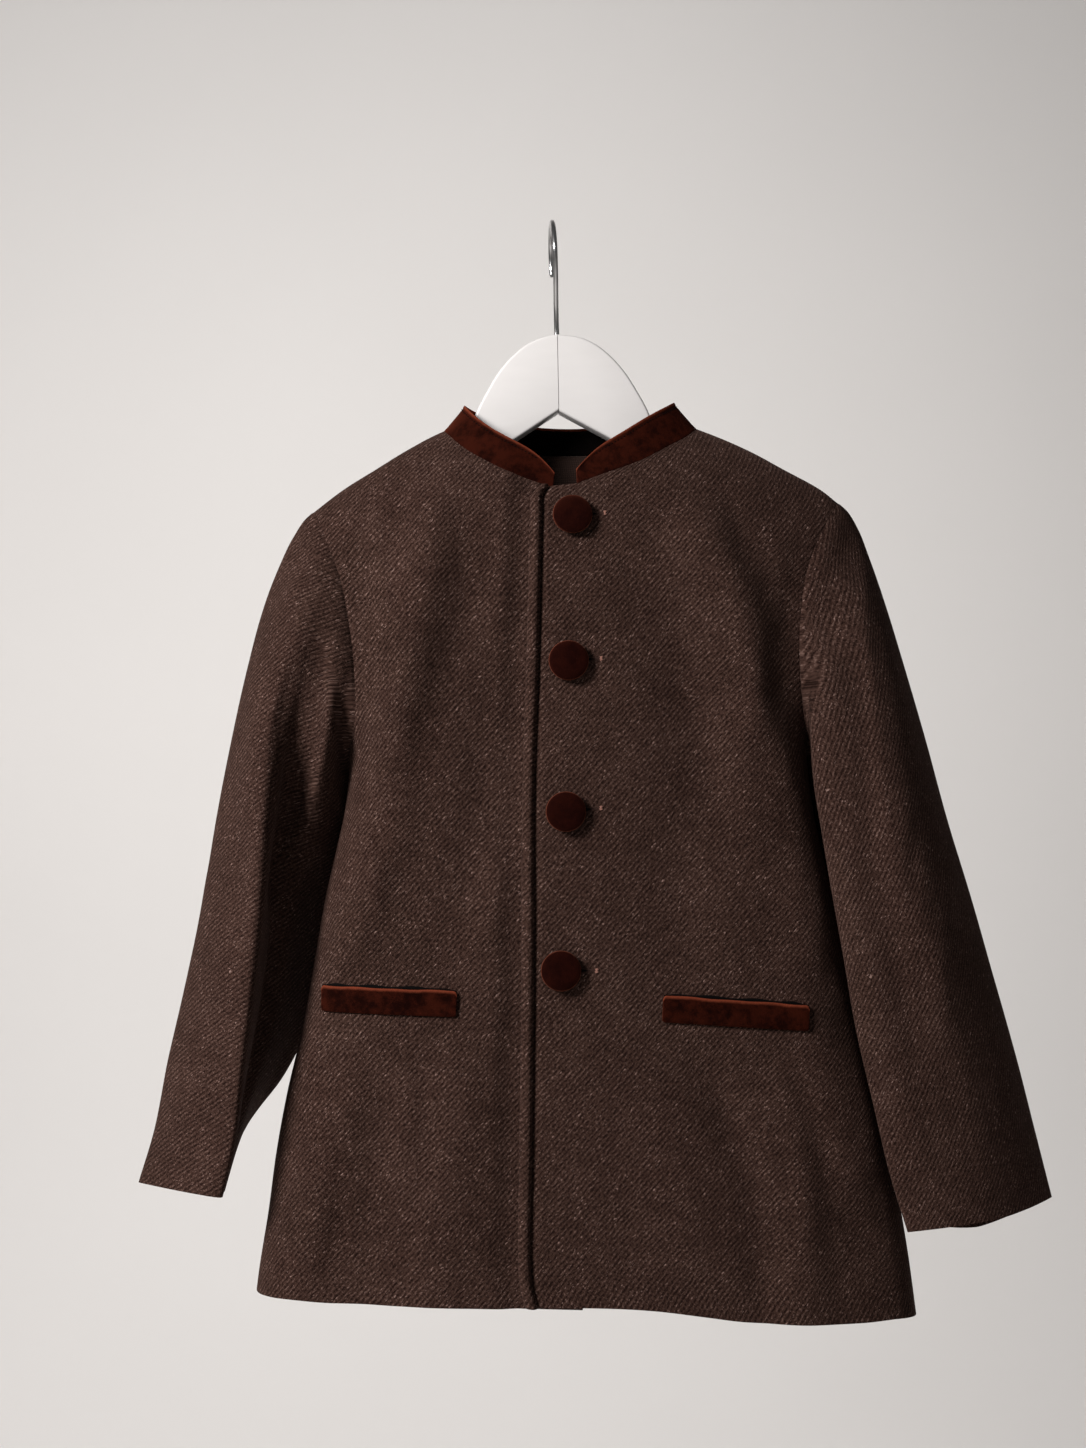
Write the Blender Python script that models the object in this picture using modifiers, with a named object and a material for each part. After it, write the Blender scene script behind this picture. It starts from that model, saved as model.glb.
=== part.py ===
"""A child's short wool jacket with a velvet stand collar, hung on a white wooden hanger.

The origin is the inner top of the hanger's hook, where a rail carries it. +Z is up and
the front faces -Y. Left and right in the names are the wearer's, so left is at +X.
Tables and sizes are in millimetres and MM turns them into metres.
"""
import math

import bmesh
import bpy
import numpy as np
from mathutils import Vector
from mathutils.bvhtree import BVHTree

MM = 0.001
FORWARD = np.array([0.0, -1.0, 0.0])
WELL_IN_FRONT = 200.0

# Cloth walls, and the gap that sewn pieces keep at their seams
CLOTH = 2.4
LINING = 1.2
SEAM = 0.3

# How much deeper the under front lies, how far inside the over edge that starts, and its ramp
LAP_STEP = 3.4
LAP_STARTS = 16.0
LAP_RAMP = 13.0

# The body's section: how deep it is on each side of the hanger, and how square
BODY_AXIS = 8.7
SECTION_POWER = 2.6
FALL = 34.0
SHOULDER_ROUND = 8.0
FOLDS_BELOW_TOP = 40.0
FOLDS_AT_SIDE = 1.6
DEEP = {"front": 42.0, "back": 29.0}

# The line of the shoulders, carried on over the neck, as (x, z)
TOP_LINE = (
    (-152, -174), (-133.9, -159.5), (-118, -147.5), (-100, -136.4), (-82, -125.5),
    (-62.6, -115.6), (-30, -106), (8.5, -102), (47, -106), (79, -115.8), (106, -127.4),
    (127, -139), (147, -150.4), (156.1, -157.8), (174, -172),
)
# The body's widest x on each side of each height, as (z, right side, left side)
SIDE_LINE = (
    (-150, -149, 171), (-159, -146, 168), (-200, -138, 155), (-234, -133, 149.5),
    (-274, -123.5, 141), (-292, -117, 135), (-324, -119.5, 136.3), (-346, -124.5, 140),
    (-373, -131, 146), (-405, -137, 152), (-443, -144.5, 159.5), (-475, -152.5, 167),
    (-507, -158.8, 173.5), (-539, -163.5, 178.5), (-571, -169, 183), (-605, -173, 186.7),
)
# Armholes from the shoulder tip to the underarm, as (x, z)
ARMHOLE = {
    ("right", "front"): ((-133.9, -159.5), (-127, -178), (-119, -201), (-113.4, -234),
                         (-111.6, -262), (-112.4, -278), (-114.4, -287), (-117, -292)),
    ("right", "back"): ((-133.9, -159.5), (-129, -180), (-124, -203), (-120, -234),
                        (-117.5, -262), (-116.5, -280), (-117, -292)),
    ("left", "front"): ((156.1, -157.8), (144, -176), (133.4, -199), (128.2, -227),
                        (127.3, -250), (128.4, -270), (131, -286), (135, -296)),
    ("left", "back"): ((156.1, -157.8), (149, -179), (143, -203), (138, -234),
                       (135, -262), (134.3, -282), (135, -296)),
}
# Side seams from the underarm to the hem, as (x, z)
SIDE_SEAM = {
    "right": ((-117, -292), (-119.5, -324), (-124.5, -346), (-131, -373), (-137, -405),
              (-144.5, -443), (-152.5, -475), (-158.8, -507), (-163.5, -539),
              (-169, -571), (-170.4, -580)),
    "left": ((135, -296), (136.3, -324), (140, -346), (146, -373), (152, -405),
             (159.5, -443), (167, -475), (173.5, -507), (178.5, -539), (183, -571),
             (186.7, -602.5)),
}
SHOULDER = {
    "right": ((-133.9, -159.5), (-118, -147.5), (-100, -136.4), (-82, -125.5), (-62.6, -115.6)),
    "left": ((156.1, -157.8), (147, -150.4), (127, -139), (106, -127.4), (79, -115.8)),
}
# Necklines from the shoulder to where the collar ends, and on to the front edge
NECKLINE = {
    "right": ((-62.6, -115.6), (-55.6, -124.9), (-48, -132), (-32, -142.3), (-16, -149.3),
              (-4, -153.6)),
    "left": ((79, -115.8), (70.4, -123.4), (61.6, -128.8), (44, -138.8), (21.6, -147.3),
             (8.8, -152.2)),
}
NECK_END = {
    "right": ((-4, -153.6), (6, -154.6), (17, -155)),
    "left": ((8.8, -152.2), (-2, -153.2), (-9, -153.4), (-12.8, -154)),
}
BACK_NECK = ((-62.6, -115.6), (-48, -120.6), (-22, -124), (8.5, -125), (38, -124),
             (64, -120.6), (79, -115.8))
# The over front's free edge and the hidden edge of the under front, as (x, z)
FRONT_EDGE = {
    "right": ((17, -155), (15, -250), (13, -330), (10, -410), (6, -498), (2.5, -587)),
    "left": ((-12.8, -154), (-16.4, -159), (-17.2, -170), (-20.8, -248), (-24.5, -327),
             (-26.3, -410), (-28.9, -498), (-30.4, -572), (-27.5, -584.6)),
}
HEM = {
    "right": ((-170.4, -580), (-150, -579.4), (-129, -581.2), (-72, -583.4), (-30, -585.6),
              (2.5, -587.4)),
    "left": ((186.7, -602.5), (172, -600.3), (152, -600), (131, -599), (110, -597.6),
             (88, -595.7), (67, -592.2), (40, -588), (10, -585.6), (-27.5, -584.6)),
    "back": ((-170.4, -580), (-100, -587), (8, -591), (110, -598), (186.7, -602.5)),
}
EDGE_ROLL = ((0.0, 0.0), (1.6, 0.9), (4.6, 0.9), (7.0, -0.7), (10.0, 0.0))

# Main folds, as (x start, z start, x end, z end, half width, height)
FOLDS = {
    "front": (
        (-70, -176, -90, -236, 17, 3.5), (-90, -236, -112, -384, 17, 4.0),
        (-108, -196, -98, -250, 11, -3.0), (-40, -300, -66, -420, 26, -2.0),
        (-122, -480, -150, -578, 15, 3.5), (-98, -470, -112, -580, 16, -3.0),
        (-66, -500, -74, -580, 20, 2.0), (76, -186, 98, -284, 17, 3.5),
        (98, -284, 128, -404, 16, 3.5), (116, -214, 114, -270, 12, -3.0),
        (70, -470, 102, -520, 20, -3.0), (128, -440, 150, -520, 15, 3.5),
        (104, -510, 118, -590, 18, 2.5), (40, -330, 48, -440, 24, -1.5),
    ),
    "back": (
        (-60, -180, -78, -300, 22, 3.0), (-30, -330, -44, -560, 26, -3.0),
        (40, -420, 52, -590, 24, 3.0), (84, -190, 100, -330, 22, 3.0),
        (-106, -430, -124, -575, 20, 3.0), (112, -470, 130, -596, 20, -2.5),
    ),
}

# Rows down a panel: fractions of the armhole, then equal steps down the side seam
ARMHOLE_ROWS = (0, 0.025, 0.065, 0.14, 0.25, 0.37, 0.49, 0.61, 0.73, 0.86, 1)
ARMHOLE_SHARE = 0.32
READ_FINELY = 200
SPLINE_STEPS = 24
SIDE_ROWS = 12
NECK_STOPS = (0.2, 0.4, 0.58, 0.74, 0.86, 0.94, 1.0)
COLUMNS = {"shoulder": 5, "neck": len(NECK_STOPS), "end": 2, "back_neck": 8}
COLUMNS_EVEN_FROM = 0.35

# Sleeves: each row is a section, top and bottom are its heights at its outer and inner
# side, the other columns are (x, y) points round it, and drop lowers its back
SLEEVE_COLUMNS = ("top", "bottom", "out", "ridge", "valley", "strip", "side", "inner", "back",
                  "drop")
SLEEVE = {
    "right": (
        (-173, -305, (-145.5, 0), (-133, -30), (-125, -37), (-119, -36), (-119.4, -22),
         (-118.4, 4), (-129, 27), 0),
        (-190, -316, (-154, 1), (-142, -35), (-133.5, -36), (-124, -39), (-121.5, -20),
         (-118, 9), (-136, 33), 0),
        (-214, -326, (-163.5, 2), (-149, -36), (-140, -32), (-128, -37), (-123, -17),
         (-118.2, 13), (-143, 39), 0),
        (-246, -339, (-172, 2), (-155, -39), (-146, -28), (-132, -30), (-125, -8),
         (-117.5, 22), (-150, 43), 0),
        (-285, -357, (-181, 3), (-159, -42), (-151, -23), (-138, -18), (-130, 0),
         (-121, 28), (-156, 46), 0),
        (-328, -378, (-190, 3), (-162, -44), (-156, -20), (-146, -6), (-137, 12),
         (-129, 31), (-163, 48), 0),
        (-373, -408, (-198, 4), (-165, -45), (-160, -20), (-150.5, 0), (-142, 17),
         (-134, 35), (-170, 48), 0),
        (-418, -440, (-208, 4), (-169, -47), (-165, -22), (-157, 0), (-148.5, 19),
         (-142, 36), (-180, 48), 0),
        (-458, -470, (-217.5, 4), (-174, -48), (-171, -24), (-166.5, -2), (-161.5, 16),
         (-157, 32), (-192, 46), 2),
        (-495, -500, (-225, 3), (-178, -47), (-177.5, -26), (-177.8, -6), (-178, 10),
         (-180.5, 25), (-204, 43), 5),
        (-523, -529, (-233.6, 2), (-185, -44), (-185, -26), (-186, -8), (-188, 8),
         (-192, 22), (-212, 40), 8),
    ),
    "left": (
        (-171, -313, (167, 0), (153, -29), (141, -37), (131, -38), (133.5, -24),
         (136.8, 1), (153, 27), 0),
        (-190, -321, (174, 0), (160, -35), (146, -43), (131.5, -41), (136.5, -22),
         (137, 6), (160, 33), 0),
        (-218, -331, (182.5, 0), (166, -42), (150, -48), (132, -42), (139, -20),
         (138, 10), (167, 37), 0),
        (-252, -346, (191.6, 0), (172, -47), (154, -52), (133.5, -43), (142, -21),
         (139.5, 12), (173, 38), 0),
        (-292, -364, (202, 0), (178, -50), (158, -54), (137, -44), (147, -22),
         (143.5, 14), (180, 39), 0),
        (-336, -392, (212.7, 0), (184, -52), (163, -55), (141, -45), (153, -24),
         (149.2, 14), (188, 39), 0),
        (-380, -424, (225, 0), (191, -52), (168, -55), (145.8, -46), (159, -25),
         (160, 12), (197, 38), 0),
        (-425, -458, (236.5, 0), (199, -51), (174, -54), (151, -46), (166, -26),
         (171, 4), (206, 34), 2),
        (-469, -494, (247.7, 0), (208, -48), (180, -52), (158.5, -46), (174.5, -27),
         (179.5, 2), (215, 31), 5),
        (-508, -528, (257, 2), (217, -44), (188, -49), (166, -45), (182, -26),
         (188, -2), (223, 28), 9),
        (-544.5, -556.5, (265.3, 2), (226, -39), (197, -46), (175, -44), (188, -26),
         (195, -6), (230, 24), 13),
    ),
}
# How far round its front half each named point of a section lies, and how far down it
ROUND_FRONT = {"out": 0.0, "ridge": 0.25, "valley": 0.45, "strip": 0.65, "side": 0.85,
               "inner": 1.0}
SLEEVE_ROWS = 17
SLEEVE_ROWS_CLOSER = 1.15

# Stand collar: its height at the front and sides and at the back, and how far it leans in
COLLAR_HEIGHT = 18.0
COLLAR_HEIGHT_BACK = 14.5
COLLAR_LEAN = 0.30
COLLAR_LEAN_SIDE = 0.26
COLLAR_END_ROUND = 9.0
COLLAR_CENTRE_Y = -4.0
COLLAR_BACK_SHARE = 0.22
COLLAR_TALLER = 3.4
COLLAR_TALLER_AT = 0.835
COLLAR_TALLER_HALF = 0.06
COLLAR_ROWS = 3
COLLAR_FACING_FROM = 0.35
NECK_FACING_ROWS = 4

# Pocket welts, as their corners from the top near the side, in (x, z)
WELTS = {
    "right": ((-132, -417), (-60, -420.5), (-61, -434), (-132, -430.5)),
    "left": ((126, -432.5), (48, -425), (47, -439), (125, -446)),
}
WELT_THICK = 1.8
WELT_GAP = 0.7
WELT_STEPS = 12

BUTTON_RADIUS = 10.5
BUTTON_THICK = 4.6
BUTTON_DOME = 2.4
BUTTON_DOME_STEPS = 6
BUTTON_EDGE = 0.8
BUTTON_STAND = 1.7
BUTTON_SHANK = 3.2
BUTTON_SIDES = 28
BUTTONS = ((5.5, -170.6), (1.6, -248.4), (-1.4, -328.0), (-5.6, -410.9))

# Hanger: the mitred joint, the dome as (half width, z), and the arms
HANGER_AXIS = 3.6
JOINT_X = 1.7
JOINT_GAP = 0.3
WOOD = 12.0
WOOD_EDGE = 1.6
WOOD_BELOW_SHOULDER = 5.4
ARM_STEPS = 12
DOME = ((11, -64.2), (20, -68.5), (28.3, -75.5), (35.3, -83.8), (41.3, -93.5), (47.6, -105.5),
        (51, -115), (57, -121.4))
DOME_TOP = -62.3
NOTCH = -105.5
LOWER_EDGE = ((24.2, -119.9), (66, -146), (105, -166))
ARM_END = {"right": (-127, -172), "left": (148, -171)}
ARM_TIP_ROUND = 3.0

# Steel hook: its wire, the bowed rise as (y, z), and the loop over the rail
WIRE = 1.4
HOOK_RISE = ((0.0, -83.0), (0.0, -70), (0.0, -60), (-4, -48), (-13.5, -34))
HOOK_LEANS_ABOVE = -60.0
HOOK_RADIUS = 18.5
HOOK_TIP_TURN = 205
HOOK_STEP_TURN = 15
HOOK_STEPS = 64
BORE_BOTTOM = -84.0
BORE_CLEARANCE = 0.3
BORE_ABOVE = 4.0

COLOURS = {
    "cloth": (0.043, 0.026, 0.022),
    "velvet": (0.045, 0.010, 0.006),
    "velvet_dark": (0.004, 0.003, 0.003),
    "facing": (0.034, 0.020, 0.016),
    "wood": (0.80, 0.78, 0.76),
    "steel": (0.62, 0.62, 0.62),
}


def spline(points, count, closed=False):
    """A smooth curve through the points, read at count evenly spaced places."""
    points = np.asarray(points, float)
    if closed:
        ring = np.vstack([points[-1], points, points[0], points[1]])
    else:
        ring = np.vstack([2 * points[0] - points[1], points, 2 * points[-1] - points[-2]])
    dense = [smooth_step(ring, i, t) for i in range(1, len(ring) - 2)
             for t in np.linspace(0, 1, SPLINE_STEPS, endpoint=False)]
    dense.append(ring[-2])
    return along(np.array(dense), np.linspace(0, 1, count))


def smooth_step(ring, i, t):
    """A place between two neighbouring points of a centripetal curve."""
    a, b, c, d = ring[i - 1:i + 3]
    k = [0.0]
    for p, q in ((a, b), (b, c), (c, d)):
        k.append(k[-1] + max(math.sqrt(np.linalg.norm(q - p)), 1e-6))
    s = k[1] + t * (k[2] - k[1])
    ab = a + (b - a) * (s - k[0]) / (k[1] - k[0])
    bc = b + (c - b) * (s - k[1]) / (k[2] - k[1])
    cd = c + (d - c) * (s - k[2]) / (k[3] - k[2])
    abc = ab + (bc - ab) * (s - k[0]) / (k[2] - k[0])
    bcd = bc + (cd - bc) * (s - k[1]) / (k[3] - k[1])
    return abc + (bcd - abc) * (s - k[1]) / (k[2] - k[1])


def lengths(line):
    """How far along the line each of its points lies."""
    steps = np.linalg.norm(np.diff(line, axis=0), axis=1)
    return np.concatenate([[0.0], np.cumsum(steps)])


def along(line, fractions):
    """The line read at fractions of its length."""
    far = lengths(line)
    want = np.asarray(fractions) * far[-1]
    return np.stack([np.interp(want, far, line[:, k]) for k in range(line.shape[1])], axis=-1)


def ease(value):
    """A smooth ramp from 0 to 1."""
    value = np.clip(value, 0, 1)
    return value * value * (3 - 2 * value)


TOP_CURVE = spline(TOP_LINE, READ_FINELY)
SIDE_CURVE = spline(SIDE_LINE, READ_FINELY)[::-1]
OVER_EDGE = spline(FRONT_EDGE["left"], READ_FINELY)[::-1]


def fold_height(x, z, which):
    """How far the main folds push the cloth out at (x, z)."""
    total = np.zeros(np.shape(x))
    for x0, z0, x1, z1, wide, high in FOLDS[which]:
        run = (x1 - x0) ** 2 + (z1 - z0) ** 2
        t = ((x - x0) * (x1 - x0) + (z - z0) * (z1 - z0)) / run
        near = np.clip(t, 0, 1)
        off = np.hypot(x - x0 - near * (x1 - x0), z - z0 - near * (z1 - z0))
        total = total + high * np.exp(-(off / wide) ** 2)
    return total


def body_depth(x, z, which):
    """How far the body's cloth stands in front of or behind the hanger at (x, z)."""
    right = np.interp(z, SIDE_CURVE[:, 0], SIDE_CURVE[:, 1])
    left = np.interp(z, SIDE_CURVE[:, 0], SIDE_CURVE[:, 2])
    half = np.where(x < BODY_AXIS, BODY_AXIS - right, left - BODY_AXIS)
    across = np.clip(np.abs(x - BODY_AXIS) / half, 0, 1)
    shape = (1 - across ** SECTION_POWER) ** (1 / SECTION_POWER)
    drop = np.maximum(np.interp(x, TOP_CURVE[:, 0], TOP_CURVE[:, 1]) - z, 0)
    near_top = 1 - np.minimum(drop / SHOULDER_ROUND, 1)
    rounded = SHOULDER_ROUND * np.sqrt(1 - near_top ** 2) * np.minimum(1, 2 * shape)
    fall = 1 - np.exp(-drop / FALL)
    folds = fold_height(x, z, which) * np.minimum(1, FOLDS_AT_SIDE * shape)
    folds = folds * ease(drop / FOLDS_BELOW_TOP)
    return DEEP[which] * shape * fall + rounded + folds


def lap_recess(x, z):
    """The under front lies this much deeper where the over front covers it."""
    edge = np.interp(z, OVER_EDGE[:, 1], OVER_EDGE[:, 0])
    return LAP_STEP * ease((x - edge + LAP_STARTS) / LAP_RAMP)


def surface_point(x, z, panel):
    """A point of a panel's outer side, in millimetres."""
    if panel == "back":
        return np.stack([x, body_depth(x, z, "back"), z], axis=-1)
    y = -body_depth(x, z, "front")
    if panel == "front_right":
        y = y + lap_recess(x, z)
    return np.stack([x, y, z], axis=-1)


def row_fractions():
    """How far down a panel each of its rows lies, the underarm's row among them."""
    upper = [ARMHOLE_SHARE * f for f in ARMHOLE_ROWS]
    lower = [ARMHOLE_SHARE + (1 - ARMHOLE_SHARE) * k / SIDE_ROWS for k in range(1, SIDE_ROWS + 1)]
    return np.array(upper + lower)


def side_boundary(side, face, panel):
    """Points down an armhole and side seam in (x, z), one for each row."""
    hole = spline(ARMHOLE[side, face], READ_FINELY)
    far = lengths(surface_point(hole[:, 0], hole[:, 1], panel))
    want = np.array(ARMHOLE_ROWS) * far[-1]
    hole = np.stack([np.interp(want, far, hole[:, k]) for k in (0, 1)], axis=-1)
    seam = spline(SIDE_SEAM[side], READ_FINELY)
    seam = along(seam, np.linspace(0, 1, SIDE_ROWS + 1)[1:])
    return np.vstack([hole, seam])


def blend_rows(top, bottom, start, end):
    """Rows in (x, z) between a top and a bottom line, from one side line to the other."""
    rows = []
    width = np.linspace(0, 1, READ_FINELY)[:, None]
    top_even = np.stack([np.interp(width[:, 0], span(top), top[:, k]) for k in (0, 1)], -1)
    low_even = np.stack([np.interp(width[:, 0], span(bottom), bottom[:, k]) for k in (0, 1)], -1)
    for down, first, last in zip(row_fractions(), start, end):
        middle = (1 - down) * top_even + down * low_even
        sides = (1 - width) * first + width * last
        corners = ((1 - width) * ((1 - down) * top[0] + down * bottom[0])
                   + width * ((1 - down) * top[-1] + down * bottom[-1]))
        rows.append(middle + sides - corners)
    return rows


def span(line):
    """Each point's share of the line's width in x."""
    return (line[:, 0] - line[0, 0]) / (line[-1, 0] - line[0, 0])


def panel_grid(panel, rows, top_stops, edge_steps=()):
    """Columns across the rows; top_stops are the top row's places as fractions of it."""
    grid = []
    count = len(top_stops)
    even = np.linspace(0, 1, count)
    for down, row in zip(row_fractions(), rows):
        points = surface_point(row[:, 0], row[:, 1], panel)
        far = lengths(points)[-1]
        near = ease(down / COLUMNS_EVEN_FROM)
        main = (1 - near) * np.array(top_stops) + near * even
        if edge_steps:
            reach = 1 - edge_steps[0] / far
            scale = (1 - near) + near * reach
            main = np.minimum(main * scale, reach)
            main = np.concatenate([main, [1 - step / far for step in edge_steps[1:]]])
        grid.append(along(points, main))
    return np.array(grid)


def course(grid, axis, closed=False):
    """Which way each of a grid's lines runs at each point, halfway between its two steps."""
    if closed:
        step = unit(np.roll(grid, -1, axis=axis) - grid)
        return unit(step + np.roll(step, 1, axis=axis))
    step = unit(np.diff(grid, axis=axis))
    first, last = np.take(step, [0], axis=axis), np.take(step, [-1], axis=axis)
    return unit(np.concatenate([first, step], axis=axis) + np.concatenate([step, last], axis=axis))


def normals_of(grid, closed=False):
    """Unit normals of a grid of points."""
    return unit(np.cross(course(grid, 1, closed), course(grid, 0)))


def unit(vectors):
    """The vectors at length 1."""
    return vectors / np.maximum(np.linalg.norm(vectors, axis=-1, keepdims=True), 1e-9)


def collections():
    """The part's collection and the one for its cutters."""
    found = []
    for name in ("jacket_on_hanger", "cutters"):
        group = bpy.data.collections.get(name) or bpy.data.collections.new(name)
        if name not in bpy.context.scene.collection.children:
            bpy.context.scene.collection.children.link(group)
        found.append(group)
    return found


def material(name, colour, roughness, metallic=0.0):
    """A plain finish with the piece's colour."""
    made = bpy.data.materials.new(name)
    made.use_nodes = True
    shader = made.node_tree.nodes["Principled BSDF"]
    shader.inputs["Base Color"].default_value = (*COLOURS[colour], 1)
    shader.inputs["Roughness"].default_value = roughness
    shader.inputs["Metallic"].default_value = metallic
    return made


def mesh_object(name, mesh, group, finish, smooth=True):
    """An object of the mesh, in its collection and with its finish."""
    made = bpy.data.objects.new(name, mesh)
    group.objects.link(made)
    mesh.materials.append(finish)
    if smooth:
        mesh.shade_smooth()
        mesh.set_sharp_from_angle(angle=math.radians(40))
    return made


def rim(build, layers, first, second):
    """Two faces across a wall's edge, split the same way on both sides of a seam."""
    a, b = (layers[0][r][c] for r, c in (first, second))
    p, q = (layers[1][r][c] for r, c in (first, second))
    if a.co.z > b.co.z:
        build.faces.new((a, b, q))
        build.faces.new((a, q, p))
    else:
        build.faces.new((a, b, p))
        build.faces.new((b, q, p))


def seam_start(grid, normals, edge_normals, away):
    """Moves a grid's first row off the seam that it starts at, and returns its inner grid."""
    fold = np.clip(-np.sum(normals[0] * edge_normals, axis=1, keepdims=True), 0, 1)
    grid[0] += unit(away + edge_normals * fold) * SEAM
    inward = -normals
    into = np.sum(inward[0] * away, axis=1, keepdims=True)
    inward[0] = unit(inward[0] - away * np.minimum(into, 0))
    return grid + inward * CLOTH


def away_from(edge, inside, closed):
    """Which way a panel's edge faces, within the panel and square to the edge."""
    tangent = np.roll(edge, -1, axis=0) - np.roll(edge, 1, axis=0)
    if not closed:
        tangent = np.gradient(edge, axis=0)
    tangent = unit(tangent)
    away = edge - inside
    return unit(away - tangent * np.sum(away * tangent, axis=1, keepdims=True))


def sewn_wall(name, outer, inner, group, finish, closed=False):
    """A cloth wall between two grids of points, as one closed solid."""
    rows, cols = outer.shape[:2]
    build = bmesh.new()
    layers = [[[build.verts.new(Vector(p) * MM) for p in row] for row in layer]
              for layer in (outer, inner)]
    last = cols if closed else cols - 1
    for r in range(rows - 1):
        for c in range(last):
            d = (c + 1) % cols
            for layer in layers:
                build.faces.new((layer[r][c], layer[r][d], layer[r + 1][d], layer[r + 1][c]))
    for c in range(last):
        d = (c + 1) % cols
        for r in (0, rows - 1):
            rim(build, layers, (r, c), (r, d))
    if not closed:
        for r in range(rows - 1):
            for c in (0, cols - 1):
                rim(build, layers, (r, c), (r + 1, c))
    bmesh.ops.recalc_face_normals(build, faces=build.faces)
    mesh = bpy.data.meshes.new(name)
    build.to_mesh(mesh)
    build.free()
    return mesh_object(name, mesh, group, finish)


def front_panel(side):
    """The outer grid of one front, its columns from the armhole to the free edge."""
    panel = "front_" + side
    shoulder = spline(SHOULDER[side], READ_FINELY)
    neck = spline(NECKLINE[side], READ_FINELY)
    end = spline(NECK_END[side], READ_FINELY)
    top = np.vstack([shoulder, neck[1:], end[1:]])
    if side == "left":
        top = top[top[:, 0] >= FRONT_EDGE["left"][0][0]]
    bottom = spline(HEM[side], READ_FINELY)
    edge = along(spline(FRONT_EDGE[side], READ_FINELY), row_fractions())
    rows = blend_rows(top, bottom, side_boundary(side, "front", panel), edge)
    line = surface_point(rows[0][:, 0], rows[0][:, 1], panel)
    far = lengths(line)
    stops = [np.interp(abs(x - rows[0][0, 0]), np.abs(line[:, 0] - line[0, 0]), far) / far[-1]
             for x in (SHOULDER[side][-1][0], NECKLINE[side][-1][0])]
    count = COLUMNS
    places = list(np.linspace(0, stops[0], count["shoulder"] + 1))
    places += [stops[0] + share * (stops[1] - stops[0]) for share in NECK_STOPS]
    if side == "right":
        places += list(np.linspace(stops[1], 1, count["end"] + 1)[1:])
        return panel_grid(panel, rows, places)
    steps = [step for step, _ in reversed(EDGE_ROLL)]
    places.append(1 - steps[0] / far[-1])
    return panel_grid(panel, rows, places, steps)


def back_panel():
    """The outer grid of the back, its columns from the right side to the left."""
    right = spline(SHOULDER["right"], READ_FINELY)
    left = spline(SHOULDER["left"], READ_FINELY)[::-1]
    neck = spline(BACK_NECK, READ_FINELY)
    top = np.vstack([right, neck[1:], left[1:]])
    rows = blend_rows(top, spline(HEM["back"], READ_FINELY), side_boundary("right", "back", "back"),
                      side_boundary("left", "back", "back"))
    line = surface_point(rows[0][:, 0], rows[0][:, 1], "back")
    far = lengths(line)
    stops = [np.interp(x, line[:, 0], far) / far[-1] for x in (BACK_NECK[0][0], BACK_NECK[-1][0])]
    count = COLUMNS
    places = np.concatenate([np.linspace(0, stops[0], count["shoulder"] + 1),
                             np.linspace(stops[0], stops[1], count["back_neck"] + 1)[1:],
                             np.linspace(stops[1], 1, count["shoulder"] + 1)[1:]])
    return panel_grid("back", rows, places)


def roll_edge(grid, normals):
    """The over front's turned edge: a soft roll and a groove, raised in its outer side."""
    raised = grid.copy()
    for k, (_, height) in enumerate(EDGE_ROLL):
        raised[:, -1 - k] += height * normals[:, -1 - k]
    return raised


def body_panels():
    """The three panels, as their outer grids and normals, with shared seam normals."""
    grids = {"front_right": front_panel("right"), "front_left": front_panel("left"),
             "back": back_panel()}
    shoulder = COLUMNS["shoulder"]
    below = slice(len(ARMHOLE_ROWS) - 1, None)
    seams = []
    for front, column, back_line in (("front_right", 0, slice(0, shoulder + 1)),
                                     ("front_left", -1, slice(-1, -shoulder - 2, -1))):
        seams.append((front, (below, 0), (below, column)))
        seams.append((front, (0, slice(0, shoulder + 1)), (0, back_line)))
    for front, here, there in seams:
        meet = (grids[front][here] + grids["back"][there]) / 2
        grids[front][here] = meet
        grids["back"][there] = meet
    facing = {}
    for name, grid in grids.items():
        facing[name] = normals_of(grid)
        outward = 1 if name == "back" else -1
        if facing[name][:, grid.shape[1] // 2, 1].mean() * outward < 0:
            facing[name] = -facing[name]
    for front, here, there in seams:
        shared = unit(facing[front][here] + facing["back"][there])
        facing[front][here] = shared
        facing["back"][there] = shared
    return grids, facing


def seam_shift(grid, name):
    """Half a seam's gap, taken off each side of a seam between the fronts and the back."""
    away = SEAM / 2 if name == "back" else -SEAM / 2
    moved = grid.copy()
    shoulder = COLUMNS["shoulder"]
    moved[0, :shoulder + 1, 1] += away
    underarm = len(ARMHOLE_ROWS) - 1
    moved[underarm:, 0, 1] += away
    if name == "back":
        moved[0, -shoulder - 1:, 1] += away
        moved[underarm:, -1, 1] += away
    return moved


def armhole_ring(side, grids, facing):
    """The armhole's edge in one ring, from the shoulder tip down the front and up the back."""
    last = len(ARMHOLE_ROWS)
    column = 0 if side == "right" else -1
    parts = [(grids["front_" + side][:last, 0], facing["front_" + side][:last, 0],
              grids["front_" + side][:last, 1]),
             (grids["back"][last - 2:0:-1, column], facing["back"][last - 2:0:-1, column],
              grids["back"][last - 2:0:-1, 1 if side == "right" else -2])]
    edge, facing_out, inside = (np.vstack([part[k] for part in parts]) for k in range(3))
    away = away_from(edge, inside, closed=True)
    away[0] = unit(away[1] + away[-1])
    away[last - 1] = unit(away[last - 2] + away[last])
    return edge, facing_out, away


def ring_places():
    """How far round each half of a section its columns lie: 0 to 1 in front, then back."""
    front = list(ARMHOLE_ROWS)
    back = [2 - f for f in ARMHOLE_ROWS[-2:0:-1]]
    return np.array(front + back)


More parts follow.
